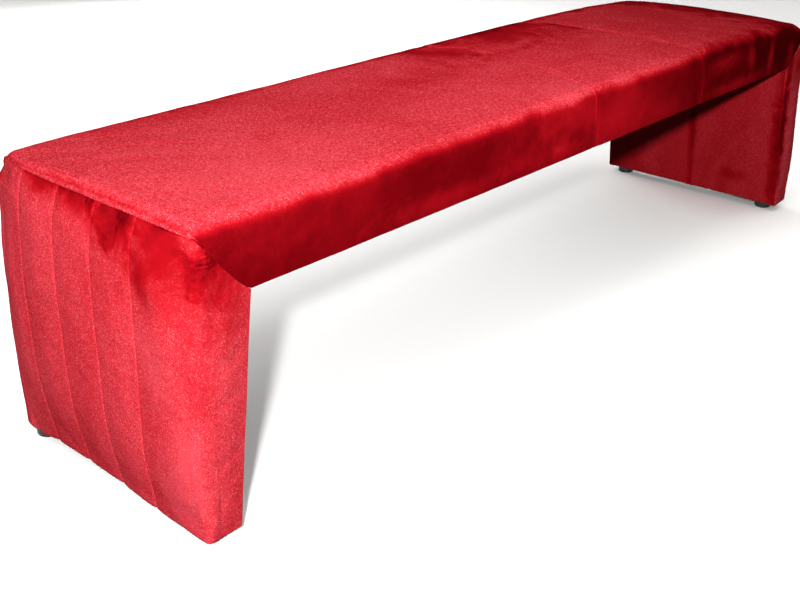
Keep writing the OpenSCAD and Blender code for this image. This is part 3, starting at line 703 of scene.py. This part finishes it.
coarseU = np.linspace(-seatReach, seatReach, 184)
coarseT = np.linspace(-1, 1, 65)
coarseSeat = lip(bendSeams(seatShape(coarseU, coarseT), coarseU), coarseU)
holdSeat = np.full(coarseSeat.shape[:2], 0.03)
for at in seat["seams"]:
    holdSeat = np.maximum(holdSeat, 0.5 * bell(coarseU - at, 0.009)[None, :])
holdSeat = np.maximum(holdSeat, 0.25 * (np.abs(coarseT) > 0.9)[:, None])
holdSeat[[0, -1], :] = 1
holdSeat[:, [0, -1]] = 1
seatFolds = settle("seat_settling", coarseSeat, holdSeat, pressure=2.0, slack=0.010, cap=0.003)


def seatPanel(name, finish, u, borders, seams):
    t = seatRows(seat["step"])
    grid = lip(bendSeams(seatShape(u, t), u), u)
    normal = seatNormals(u, t)
    folds = resample(seatFolds, (t + 1) / 2 * (len(coarseT) - 1), 0)
    folds = resample(folds, (u + seatReach) / (2 * seatReach) * (len(coarseU) - 1), 1)
    swell = seat["folding"] * folds + 0.0012 * ripple(grid, 0.11, 1) + 0.0006 * ripple(grid, 0.035, 2)
    for at in seams:
        away = u - at
        grooves = sum(bell(away - side * seat["twinStitch"], 0.0011) for side in (-1, 1)) * seat["twinDepth"]
        pucker = 0.0011 * ripple(grid, 0.014, 5 + at) * bell(np.abs(away) - 0.012, 0.010)[None, :]
        # short diagonal wrinkles where the seam turns over the front edge
        nearFront = bell(grid[..., 1] + bench["halfDepth"], 0.02)
        wrinkle = 0.0012 * np.sin((grid[..., 2] + grid[..., 0]) * 2 * math.pi / 0.017) * nearFront
        wrinkle = wrinkle * bell(np.abs(away) - 0.016, 0.012)[None, :]
        swell = swell - grooves[None, :] - 0.001 * bell(away, 0.02)[None, :] + pucker + wrinkle
    fromEnd = seatReach - np.abs(u)
    cornerPucker = 0.0014 * np.sin(grid[..., 1] * 2 * math.pi / 0.0095 + 3 * ripple(grid, 0.02, 9))
    cornerPucker = cornerPucker * bell(grid[..., 1] + 0.198, 0.022) * bell(fromEnd - 0.008, 0.010)[None, :]
    swell = swell + cornerPucker * smoothStep(fromEnd / 0.004)[None, :]
    grid = grid + normal * swell[..., None]
    narrow = smoothStep((np.abs(u) - 0.800) / 0.012)
    allowance = seat["flap"] + (seat["mitreAllowance"] - seat["flap"]) * narrow
    borders = {**borders, "low": (0.0018, allowance), "high": (0.0018, allowance)}
    made = clothPiece(name, turnIn(grid, borders, normal), finish)
    return made, grid, normal


def stitches(name, lines, finish, pitch=0.0042, length=0.0034, radius=0.00032):
    # sewing thread: one short rounded piece for each stitch, sunk a little at both ends
    rings = [(-0.5, 0.2, -0.8), (-0.36, 1.0, -0.1), (0.0, 1.1, 0.35), (0.36, 1.0, -0.1), (0.5, 0.2, -0.8)]
    angles = np.arange(6) * math.pi / 3
    points, faces = [], []
    for path, outward in lines:
        run = np.concatenate([[0], np.cumsum(np.linalg.norm(np.diff(path, axis=0), axis=1))])
        for s in np.arange(pitch, run[-1] - pitch, pitch):
            centre = np.array([np.interp(s, run, path[:, k]) for k in range(3)])
            ahead = np.array([np.interp(s + length / 2, run, path[:, k]) for k in range(3)]) - centre
            up = np.array([np.interp(s, run, outward[:, k]) for k in range(3)])
            ahead /= np.linalg.norm(ahead)
            side = np.cross(ahead, up)
            side /= np.linalg.norm(side)
            up = np.cross(side, ahead)
            first = len(points)
            for along, wide, high in rings:
                for a in angles:
                    points.append(centre + ahead * along * length + side * math.cos(a) * radius * wide
                                  + up * (math.sin(a) * radius * wide + high * radius))
            for ring in range(len(rings) - 1):
                for k in range(6):
                    a, b = first + ring * 6 + k, first + ring * 6 + (k + 1) % 6
                    faces.append([a, b, b + 6, a + 6])
            faces.append([first + k for k in range(5, -1, -1)])
            faces.append([first + (len(rings) - 1) * 6 + k for k in range(6)])
    return meshObject(name, np.array(points), faces, finish)


def place(piece, slot, *nodes):
    # every piece rides on the one body and stands for its CAD nodes
    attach(piece, "root")
    if nodes:
        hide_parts(*nodes)
    return piece


seamRoll = (0.0010, 0.006)
endRoll = (0.0004, 0.007)
seamA, seamB = seat["seams"]
panels = {
    # from, to, how its two ends roll in, the seams beside it, flat size
    "left": (-seatReach, seamA, (endRoll, seamRoll), [seamA], (0.97, 0.70)),
    "middle": (seamA, seamB, (seamRoll, seamRoll), [seamA, seamB], (0.37, 0.70)),
    "right": (seamB, seatReach, (seamRoll, endRoll), [seamB], (0.55, 0.70)),
}
seatGrids = {}
for side, (start, end, rolls, seams, flat) in panels.items():
    u = panelColumns(start, end, seat["step"], start in seams, end in seams)
    borders = {"left": rolls[0], "right": rolls[1]}
    made, grid, normal = seatPanel("seat_velvet_" + side, seatVelvets[side], u, borders, seams)
    place(made, "red_velvet", "seat_" + side + "_cover")
    seatGrids[side] = (u, grid, normal)


def columnLine(side, at):
    u, grid, normal = seatGrids[side]
    j = int(np.argmin(np.abs(u - at)))
    return grid[3:-3, j] - normal[3:-3, j] * seat["threadDepth"], normal[3:-3, j]


for label, at, before, after in (("first", seamA, "left", "middle"), ("second", seamB, "middle", "right")):
    twin = [columnLine(before, at - seat["twinStitch"]), columnLine(after, at + seat["twinStitch"])]
    place(stitches("seat_%s_seam_stitches" % label, twin, thread), "red_velvet")
print("seat covers made")

# what lies under the seat covers

innerU = np.concatenate([-np.linspace(seatReach, turnX, 7), np.linspace(-turnX, turnX, 90)[1:-1],
                         np.linspace(turnX, seatReach, 7)])
innerT = np.linspace(-1, 1, 49)
padSide = bench["coverThick"] + bench["waddingThick"]
padEnd = bench["coverThick"] + bench["padThick"]
waddingOut = seatShape(innerU, innerT, bench["coverThick"], bench["coverThick"], bench["railLow"])
innerNormals = seatNormals(innerU, innerT)
waddingOut = turnIn(waddingOut, {edge: (0.009, 0) for edge in ("low", "high", "left", "right")}, innerNormals)
inSeam = sum(bell(waddingOut[..., 0] - curveThrough(waddingOut[..., 1], seat["seamPathY"], path), 0.014)
             for path in seat["seamPathX"]) * 0.0026
waddingOut = waddingOut - innerNormals * (0.0012 + inSeam[..., None])
waddingIn = seatShape(innerU, innerT, padSide, padEnd, bench["railLow"])
seatWadding = meshObject("seat_padding_wadding", *closedSheet(waddingOut, waddingIn), wadding)
place(seatWadding, "wadding", "seat_wadding")

foamOut = seatShape(innerU, innerT, padSide, padEnd, bench["foamLow"] + 0.002)
foamUnder = foamOut.copy()
foamUnder[..., 2] = bench["foamLow"]
seatFoam = meshObject("seat_padding_foam", *closedSheet(foamOut, foamUnder), foam)
place(seatFoam, "foam", "seat_foam")


def sagging(x0, x1, y0, y1, z, sag, cols, rows):
    # a cloth stretched between two lines of staples, low in the middle and gathered at the staples
    x, y = np.meshgrid(np.linspace(x0, x1, cols), np.linspace(y0, y1, rows))
    across = np.abs(2 * (y - y0) / (y1 - y0) - 1)
    hang = sag * (1 - across**2.5)
    points = np.stack([x, y, z - hang], axis=2)
    points[..., 2] += abs(sag) * 0.5 * ripple(points, 0.05, 11) * (1 - across**4)
    return points


webbing = {"count": 14, "width": 0.060, "endY": 0.2135, "thick": 0.0012, "sag": 0.0012}
lo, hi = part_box("seat_webbing")
pitch = (hi.x - lo.x - webbing["width"]) / (webbing["count"] - 1)
strapPoints, strapFaces = [], []
for k in range(webbing["count"]):
    middle = (k - (webbing["count"] - 1) / 2) * pitch
    outer = sagging(middle - webbing["width"] / 2, middle + webbing["width"] / 2, -webbing["endY"],
                    webbing["endY"], hi.z, webbing["sag"], 7, 40)
    points, faces = closedSheet(outer, outer - np.array([0, 0, webbing["thick"]]))
    strapFaces.append(faces + len(points) * k)
    strapPoints.append(points)
straps = meshObject("seat_jute_webbing", np.concatenate(strapPoints), np.concatenate(strapFaces), jute)
place(straps, "jute_webbing", "seat_webbing")


def flatCloth(name, node, slot, finish, sag):
    lo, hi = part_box(node)
    outer = sagging(lo.x, hi.x, lo.y, hi.y, hi.z, sag, 180, 44)
    made = meshObject(name, *closedSheet(outer, outer - np.array([0, 0, hi.z - lo.z])), finish)
    place(made, slot, node)
    return made


flatCloth("seat_hessian_cloth", "seat_hessian", "hessian", hessian, 0.0006)
flatCloth("seat_underside_cloth", "seat_dust_cover", "black_nonwoven", nonwoven, 0.0022)
print("seat padding made")


# the legs: drawn on the +X side, the left one mirrored

leg = {
    "face": 0.070,              # width of the front and rear faces
    "seams": (0.136, 0.052, -0.032, -0.116, -0.223),
    "swellY": (-0.213, -0.205, -0.116, 0.052, 0.136, 0.170, 0.197),
    "swell": (0.014, 0.016, 0.020, 0.020, 0.018, 0.013, 0.006),
    "faceSwell": 0.003,
    "arch": 0.0006,             # of each channel between its seams
    "groove": 0.0012,
    "grooveWidth": 0.0015,
    "hemY": (-0.225, -0.185, -0.126, -0.075, -0.026, 0.059, 0.114, 0.195, 0.212, 0.225),
    "hemOut": (0.003, 0.006, 0.005, 0.001, -0.003, -0.006, -0.0075, -0.0080, -0.004, -0.002),
    "cornerSharp": 0.30,        # the front corner is folded crisply
    "bulge": 0.007,             # the front edge stands out below and in above
    "cornerLift": 0.003,        # the far leg's hem rises at its front corner
    "rowZ": (0.016, 0.0416, 0.0756, 0.118, 0.170, 0.237, 0.340, 0.388, 0.410, 0.432, 0.444, 0.450),
    "fullness": (0.0, 0.2, 0.56, 0.82, 0.92, 0.98, 1.0, 0.90, 0.74, 0.42, 0.16, 0.0),
    "pullZ": (0.016, 0.0756, 0.118, 0.20, 0.442),
    "pull": (1.0, 0.7, 0.35, 0.0, 0.0),
    "step": 0.0065,
    "hemTurn": 0.012,
    "threadDepth": 0.0007,
    "folding": 0.6,             # the channels hold the cloth tighter than it would lie
}
frontArc, rearArc = 0.0240, 0.0370
panelFront = bench["frontTurn"] - bench["halfDepth"]
panelRear = bench["halfDepth"] - bench["rearTurn"]
legEdges = np.cumsum([0, leg["face"], frontArc, panelRear - panelFront, rearArc, leg["face"]])


def legStations(u):
    # place round the leg: x at the hem and at the top, y, outward direction, swell
    faceF = np.clip(u / leg["face"], 0, 1)
    faceR = np.clip((legEdges[5] - u) / leg["face"], 0, 1)
    front = u < (legEdges[2] + legEdges[3]) / 2
    face = np.where(front, faceF, faceR)
    turned = np.where(front, (u - legEdges[1]) / frontArc, (legEdges[4] - u) / rearArc)
    angle = np.clip(turned, 0, 1) * math.pi / 2
    side = np.where(front, -1.0, 1.0)
    turnY = np.where(front, bench["frontTurn"], bench["rearTurn"])
    panel = np.clip(u - legEdges[2], 0, panelRear - panelFront)
    onPanel = (u > legEdges[2]) & (u < legEdges[3])
    y = np.where(onPanel, panelFront + panel, side * (bench["halfDepth"] - turnY + turnY * np.cos(angle)))
    outX = np.where(onPanel, 1.0, np.sin(angle))
    outY = np.where(onPanel, 0.0, side * np.cos(angle))
    arcX = turnX + bench["endRadius"] * np.sin(angle)
    xHem = np.where(face < 1, bench["innerHem"] + (turnX - bench["innerHem"]) * face, arcX)
    xTop = np.where(face < 1, bench["innerTop"] + (turnX - bench["innerTop"]) * face, arcX)
    xHem, xTop = (np.where(onPanel, bench["halfLength"], x) for x in (xHem, xTop))
    full = curveThrough(np.clip(y, panelFront, panelRear), leg["swellY"], leg["swell"])
    swell = np.where(face < 1, leg["faceSwell"] * face, leg["faceSwell"] + (full - leg["faceSwell"]) * outX)
    return xHem, xTop, y, outX, outY, swell


def channelArch(y, power=5.0):
    arch = np.zeros_like(y)
    marks = (panelRear + 0.012,) + leg["seams"]
    for rear, front in zip(marks, marks[1:]):
        t = (y - front) / (rear - front)
        inside = (t >= 0) & (t <= 1)
        arch = np.where(inside, 1 - np.abs(2 * np.clip(t, 0, 1) - 1) ** power, arch)
    return arch


def legShape(u, v, depth=0.0, lowZ=None):
    # u round the leg from the front's inner edge, v from 0, the hem, to 1, the top seam
    xHem, xTop, y, outX, outY, swell = (a[None, :] for a in legStations(np.asarray(u, float)))
    v = np.asarray(v, float)[:, None]
    low = bench["hem"] if lowZ is None else lowZ
    top = mitreHeight(xTop) + seamTilt(y) * outX**2
    z = low + (top - low) * v
    x = xHem + (xTop - xHem) * v
    levelZ = low + (bench["seamHeight"] - low) * v
    # the corner arcs grow squarer towards the hem at the front
    sharp = leg["cornerSharp"] * (1 + 0.5 * bell(levelZ - low, 0.03)) * (y < 0)
    sharp = sharp * smoothStep((0.435 - levelZ) / 0.05)
    cornerX = (np.abs(outX)**(1 - sharp) - np.abs(outX)) * bench["endRadius"] * (outX < 1)
    cornerY = -(np.abs(outY)**(1 - sharp) - np.abs(outY)) * bench["frontTurn"] * (outX > 0)
    full = curveThrough(levelZ, leg["rowZ"], leg["fullness"])
    pull = curveThrough(levelZ, leg["pullZ"], leg["pull"])
    hem = outX * curveThrough(y, leg["hemY"], leg["hemOut"])
    out = swell * full + hem * pull
    lowBulge = bell(levelZ - 0.11, 0.075) - smoothStep((levelZ - 0.28) / 0.10) * (levelZ < 0.445)
    rearIn = smoothStep((levelZ - 0.27) / 0.11) * smoothStep((0.455 - levelZ) / 0.025)
    rearIn = rearIn * smoothStep((y - 0.11) / 0.09)
    out = out + leg["bulge"] * (lowBulge * smoothStep((-0.15 - y) / 0.06) - rearIn) * outX * full
    raised = np.clip((levelZ - low) / 0.05, 0.35, 1)
    raised = raised * smoothStep((bench["seamHeight"] + 0.004 - levelZ) / 0.05)
    out = out + leg["arch"] * channelArch(y) * raised * outX
    x = x + outX * (out - depth) + cornerX
    y = y + outY * (np.minimum(out, leg["faceSwell"]) - depth) + cornerY + 0 * v
    return np.stack([x, y, z + 0 * y], axis=2)


def easeLeg(grid, side):
    # the same pull at the upper corners as on the seat
    mirror = np.array([-1.0 if side == "left" else 1.0, 1.0, 1.0])
    return easeCorners(grid * mirror) * mirror


def legColumns(step):
    near = np.array([0, 0.0005, 0.0011, 0.0018, 0.0028, 0.004, 0.006])
    marks = [legEdges[2] + (s - panelFront) for s in leg["seams"]]
    rim = np.array([0, 0.001, 0.002, 0.003])
    wanted = np.concatenate([np.arange(0, legEdges[5], step), legEdges, np.linspace(0.048, legEdges[2], 24),
                             np.linspace(legEdges[3], legEdges[4], 9), legEdges[5] - rim, rim])
    fromSeam = np.min(np.abs(wanted[:, None] - np.array(marks)[None, :]), axis=1)
    wanted = np.concatenate([wanted[fromSeam > 0.0072]] + [m + s * near for m in marks for s in (-1, 1)])
    wanted = np.unique(np.round(wanted, 5))
    return wanted[np.concatenate([[True], np.diff(wanted) > 0.0004])], marks


def legRows(step):
    height = bench["seamHeight"] - bench["hem"]
    return np.unique(np.round(np.concatenate([np.linspace(0, 0.03, 9), np.arange(0.03, 0.84, step / height),
                                              np.linspace(0.84, 1, 40)]), 5))


legFolds = {
    # folds of the near leg as (centre u, centre z, length, width, height, tilt in degrees)
    "left": [(0.072, 0.409, 0.014, 0.0026, 0.0030, 6), (0.074, 0.4215, 0.009, 0.0020, 0.0024, -6),
             (0.062, 0.396, 0.010, 0.0035, 0.0012, 20),
             (0.150, 0.36, 0.05, 0.012, 0.0015, 60), (0.130, 0.30, 0.08, 0.016, 0.0012, 80),
             (0.045, 0.25, 0.10, 0.018, 0.0012, 85)],
    "right": [(0.080, 0.396, 0.014, 0.0024, 0.0018, 40), (0.060, 0.20, 0.10, 0.02, 0.0015, 85),
              (0.520, 0.38, 0.02, 0.003, 0.0018, -35)],
}


def legCover(side, seed):
    u, marks = legColumns(leg["step"])
    v = legRows(leg["step"])
    coarseU, coarseV = np.linspace(0, legEdges[5], 78), np.linspace(0, 1, 56)
    coarse = legShape(coarseU, coarseV)
    hold = np.full(coarse.shape[:2], 0.03)
    for m in marks:
        hold = np.maximum(hold, 0.85 * bell(coarseU - m, 0.006)[None, :])
    hold = np.maximum(hold, 0.12 * ((coarseU < legEdges[1]) | (coarseU > legEdges[4]))[None, :])
    hold[[0, -1], :] = 1
    hold[:, [0, -1]] = 1
    coarse = coarse + 0.0004 * ripple(coarse, 0.02, seed)[..., None]
    folds = settle(side + "_leg_settling", coarse, hold, pressure=3.0, slack=0.008, cap=0.003)
    folds = resample(resample(folds, v * (len(coarseV) - 1), 0), u / legEdges[5] * (len(coarseU) - 1), 1)
    grid = legShape(u, v)
    normal = gridNormals(grid)
    z = grid[..., 2]
    swell = leg["folding"] * folds + 0.0011 * ripple(grid, 0.09, seed)
    swell = swell + 0.0006 * ripple(grid * np.array([1, 1, 0.4]), 0.028, seed + 2)
    underSeam = bell(bench["seamHeight"] - z, 0.03) * (np.abs(grid[..., 1]) < 0.21)
    swell = swell + 0.0012 * ripple(grid * np.array([1, 1, 0.25]), 0.016, seed + 4) * underSeam
    for m in marks:
        wander = 0.0016 * ripple(grid[:, :1] * np.array([0, 0, 1.0]), 0.06, seed + m * 40)
        deep, steady = (leg["groove"], 1.0) if m != marks[-1] else (0.6 * leg["groove"], 0.3)
        away = np.abs(u[None, :] - m)
        swell = swell - deep * np.exp(-away / leg["grooveWidth"])
        swell = swell + 0.0006 * ripple(grid, 0.011, seed + 6 + m) * bell(away - 0.008, 0.007)
        grid[..., 1] += wander * steady * bell(away, 0.03) * (1 if side == "left" else -1)
    for centre, height, length, width, size, tilt in legFolds[side]:
        du, dz = u[None, :] - centre, z - height
        c, s = math.cos(math.radians(tilt)), math.sin(math.radians(tilt))
        swell = swell + size * bell(du * c + dz * s, length) * bell(-du * s + dz * c, width)
    grid = grid + normal * swell[..., None]
    # the hem rises into a small notch at each channel seam
    stations = legStations(u)
    lift = 0.0002 - 0.0020 * channelArch(stations[2]) * stations[3]
    if side == "right":
        lift = lift + leg["cornerLift"] * bell(u - legEdges[2], 0.022)
    else:
        lift = lift - 0.006 * (1 - smoothStep((u - legEdges[2] + 0.005) / 0.05))
        lift = lift - 0.007 * bell(u - legEdges[3] + 0.02, 0.035)
    grid[..., 2] += lift[None, :] * bell(z - bench["hem"], 0.03)
    grid = easeLeg(grid, side)
    finished = onSide(side, turnIn(grid, {"low": (0.003, leg["hemTurn"]), "high": (0.0003, 0.006),
                                          "left": (0.0010, 0.0), "right": (0.0010, 0.0)}))
    # stitches lie at the bottom of the channel seams
    lines = []
    for m in marks:
        j = int(np.argmin(np.abs(u - m)))
        path, outward = (grid - normal * leg["threadDepth"])[4:-6, j], normal[4:-6, j].copy()
        if side == "left":
            path[:, 0] *= -1
            outward[:, 0] *= -1
        lines.append((path, outward))
    return finished, lines


def insideFace(y0, y1, seed):
    # half of the leg's inner face, leaning, with soft fullness and a small tuck at the seam's foot
    cols = np.concatenate([y0 + np.linspace(0, 0.006, 5), np.linspace(y0 + 0.006, y1 - 0.006, 32)[1:-1],
                           y1 - np.linspace(0.006, 0, 5)])
    rows = np.concatenate([np.linspace(0, 0.012, 5), np.linspace(0.012, 0.988, 48)[1:-1],
                           np.linspace(0.988, 1, 4)])
    y, v = np.meshgrid(cols, rows)
    z = bench["hem"] + (bench["seatLow"] - bench["hem"]) * v
    x = bench["innerHem"] + (bench["innerTop"] - bench["innerHem"]) * v
    grid = np.stack([x, y, z], axis=2)
    inside = (1 - np.abs(2 * (y - y0) / (y1 - y0) - 1) ** 3) * (1 - np.abs(2 * v - 1) ** 4)
    puff = 0.0022 * inside + 0.0008 * ripple(grid, 0.06, seed)
    seam = y1 if abs(y1) < 0.1 else y0
    fromSeam = y - seam + 0.008 * np.sign(seam - (y0 + y1) / 2)
    puff = puff + 0.003 * bell(fromSeam, 0.006) * bell(z - bench["hem"], 0.02)
    grid[..., 0] -= puff
    return grid[:, ::-1]


innerSeamY = -0.005
overlap = 0.0009                # the two halves meet behind the seam
for side, seed in (("left", 21), ("right", 43)):
    finished, lines = legCover(side, seed)
    node = side + "_leg_"
    cover = clothPiece(node + "velvet_outside", finished, legVelvet)
    place(cover, "red_velvet", node + "channel_cover")
    place(stitches(node + "channel_stitches", lines, thread), "red_velvet")
    for half, y0, y1 in (("front", -0.224, innerSeamY + overlap), ("rear", innerSeamY - overlap, 0.224)):
        grid = easeLeg(insideFace(y0, y1, seed + 5), side)
        seamSide, edgeSide = ("left", "right") if half == "front" else ("right", "left")
        grid = turnIn(grid, {"low": (0.002, 0.010), seamSide: (0.0032, 0.002), edgeSide: (0.0012, 0.002)})
        face = clothPiece(node + "velvet_inside_" + half, onSide(side, grid), innerVelvet)
        place(face, "red_velvet", node + "inner_" + half + "_cover")
print("leg covers made")

# padding of the legs

for side in ("left", "right"):
    node = side + "_leg_"
    u = np.unique(np.round(np.concatenate([np.linspace(0, legEdges[5], 150), legEdges]), 5))
    v = np.linspace(0, 1, 50)
    over = easeLeg(legShape(u, v, bench["coverThick"], lowZ=bench["padLow"]), side)
    xHem, xTop, y, outX, outY, swell = (a[None, :] for a in legStations(u))
    level = v[:, None]
    # its back lies on the outer board and goes round the board's upright edges
    angle, half = np.arctan2(outX, np.abs(outY)), math.radians(45)
    onBoard = turnX + (bench["boardX"] - turnX) * np.minimum(1, angle / half)
    backX = np.where(outX == 0, xHem + (xTop - xHem) * level, onBoard)
    edgeY = np.where(y < 0, -panelFront, panelRear)
    aroundY = edgeY + (bench["boardY"] - edgeY) * np.minimum(1, (math.pi / 2 - angle) / half)
    backY = np.where(outY == 0, y, np.sign(y) * aroundY) + 0 * level
    under = easeLeg(np.stack([backX + 0 * backY, backY, over[..., 2]], axis=2), side)
    over[..., 0] += bench["coverThick"] * (outX == 0)
    over = turnIn(over, {"low": (0.008, 0), "high": (0.010, 0), "left": (0.004, 0), "right": (0.004, 0)})
    sewnIn = sum(bell(u - legEdges[2] + panelFront - at, 0.007) for at in leg["seams"]) * 0.0028
    over = over - gridNormals(over) * (0.0012 + sewnIn[None, :, None])
    layers = closedSheet(onSide(side, over), onSide(side, under))
    pad = place(meshObject(node + "channel_padding", *layers, foam), "foam", node + "pad")
    y, v = np.meshgrid(np.linspace(bench["boardY"], -bench["boardY"], 120), np.linspace(0, 1, 30))
    z = bench["padLow"] + (bench["seatLow"] - bench["padLow"]) * v
    height = (z - bench["hem"]) / (bench["seatLow"] - bench["hem"])
    face = bench["innerHem"] + (bench["innerTop"] - bench["innerHem"]) * height + bench["coverThick"]
    outer = np.stack([face + 0.0026 * bell(y - innerSeamY, 0.012), y, z], axis=2)
    inner = np.stack([face + 0.003, y, z], axis=2)
    layers = closedSheet(*(onSide(side, easeLeg(grid, side)) for grid in (outer, inner)))
    lining = meshObject(node + "inside_wadding", *layers, wadding)
    place(lining, "wadding", node + "inner_wadding")
    lo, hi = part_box(node + "bottom_cover")
    y, share = np.meshgrid(np.linspace(lo.y, hi.y, 60), np.linspace(0, 1, 12))
    nearEdge, width = min(abs(lo.x), abs(hi.x)), hi.x - lo.x
    hemX = bench["halfLength"] + curveThrough(y, leg["hemY"], leg["hemOut"])
    reach = np.minimum(width, hemX - 0.005 - nearEdge) - 0.012 * smoothStep((y - hi.y + 0.025) / 0.025)
    top = np.stack([nearEdge + reach * share, y, np.full_like(y, hi.z)], axis=2)
    under = top - np.array([0, 0, hi.z - lo.z])
    under[..., 2] += 0.0004 * ripple(under, 0.02, 5) * bell(share - 0.5, 0.3)
    layers = closedSheet(*(onSide(side, easeLeg(grid, side))[:, ::-1] for grid in (top, under)))
    sole = meshObject(node + "underside_cloth", *layers, nonwoven)
    place(sole, "black_nonwoven", node + "bottom_cover")
print("leg padding made")

# CAD parts that keep their shape

finishes = {
    beechX: ["seat_front_rail", "seat_back_rail"],
    beechY: ["seat_left_end_rail", "seat_right_end_rail", "seat_left_cross_rail", "seat_middle_cross_rail",
             "seat_right_cross_rail"],
    beechZ: ["seat_corner_blocks"],
    zinc: ["seat_frame_screws", "seat_webbing_staples", "seat_dust_cover_staples"],
    board: [],
    moulded: [],
}
for side in ("left", "right"):
    node = side + "_leg_"
    finishes[beechZ] += [node + "front_post", node + "rear_post"]
    finishes[beechY] += [node + "top_rail", node + "bottom_rail"]
    finishes[zinc] += [node + "glide_screws", node + "bolts", node + "washers", node + "tee_nuts"]
    finishes[board] += [node + "outer_board", node + "inner_board"]
    finishes[moulded] += [node + "glides"]
for finish, names in finishes.items():
    for name in names:
        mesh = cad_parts[name].data
        mesh.materials.clear()
        mesh.materials.append(finish)

# floor, light and camera

studio = {
    "floor": "#F4F3F1",
    "floorReach": 20,
    "fill": 0.05,
    "frontSpread": 40,
    "cameraPlace": (-1.6996, -1.2269, 0.9646),
    "azimuth": -49.57,
    "elevation": 22.67,
    "roll": 1.00,
    "lens": 51.78,
    "shiftY": -0.0669,
}
softboxes = {
    # place, aim, power, size
    "key_softbox": ((-2.10, -1.40, 1.275), (-0.1, -0.05, 0.30), 89, (0.12, 0.12)),
    "top_softbox": ((-0.25, -0.15, 2.25), (-0.25, -0.15, 0), 13, (1.6, 1.0)),
    "rear_softbox": ((1.2, 2.8, 1.1), (0.1, 0.2, 0.1), 24, (1.6, 0.8)),
    "front_softbox": ((0.05, -1.60, 1.15), (0.0, -0.20, 0.43), 0.5, (0.4, 0.4)),
    "floor_wash": ((0.0, 0.0, 6.0), (0.0, 0.0, 0), 880, (16.0, 16.0)),
}
floorLook, tree, shader, coords = newMaterial("painted_floor")
grain = addNode(tree, "TexNoise", {"Scale": 400.0, "Detail": 3.0}, {"Vector": coords["Object"]})
tint = addNode(tree, "ValToRGB", links={0: grain}, stops=[(0.3, "#EFEEEC"), (0.7, studio["floor"])])
setNode(tree, shader, {"Roughness": 0.8}, {"Base Color": tint})
corners = np.array([[-1, -1, 0], [1, -1, 0], [1, 1, 0], [-1, 1, 0]], float) * studio["floorReach"]
floor = meshObject("floor", corners, [[0, 1, 2, 3]], floorLook)
floor.visible_diffuse = False      # the photo's bench gets no light back from its white ground

world = bpy.data.worlds.new("studio")
scene.world = world
world.use_nodes = True
background = world.node_tree.nodes["Background"]
background.inputs[0].default_value = (1, 1, 1, 1)
background.inputs[1].default_value = studio["fill"]

for name, (spot, aim, power, size) in softboxes.items():
    light = bpy.data.objects.new(name, bpy.data.lights.new(name, "AREA"))
    light.data.energy = power
    light.data.shape = "DISK" if name == "key_softbox" else "RECTANGLE"
    light.data.size, light.data.size_y = size
    light.location = spot
    light.rotation_euler = (Vector(aim) - Vector(spot)).to_track_quat("-Z", "Y").to_euler()
    scene.collection.objects.link(light)
bpy.data.lights["front_softbox"].spread = math.radians(studio["frontSpread"])
wash = bpy.data.objects["floor_wash"]
wash.visible_camera = False
floorOnly = bpy.data.collections.new("floor_only")       # so that the ground is pale all round
floorOnly.objects.link(floor)
wash.light_linking.receiver_collection = floorOnly

camera = bpy.data.objects.new("camera", bpy.data.cameras.new("camera"))
a, e, r = (math.radians(studio[k]) for k in ("azimuth", "elevation", "roll"))
back = Vector((math.sin(a) * math.cos(e), -math.cos(a) * math.cos(e), math.sin(e)))
right = (-back).cross(Vector((0, 0, 1))).normalized()
up = right.cross(-back)
turned = (right * math.cos(r) + up * math.sin(r), up * math.cos(r) - right * math.sin(r), back)
camera.matrix_world = Matrix.Translation(studio["cameraPlace"]) @ Matrix(turned).transposed().to_4x4()
camera.data.sensor_width = 36
camera.data.lens = studio["lens"]
camera.data.shift_y = studio["shiftY"]
camera.data.clip_end = 60
scene.collection.objects.link(camera)
scene.camera = camera
scene.view_settings.view_transform = "Standard"
print("studio made")
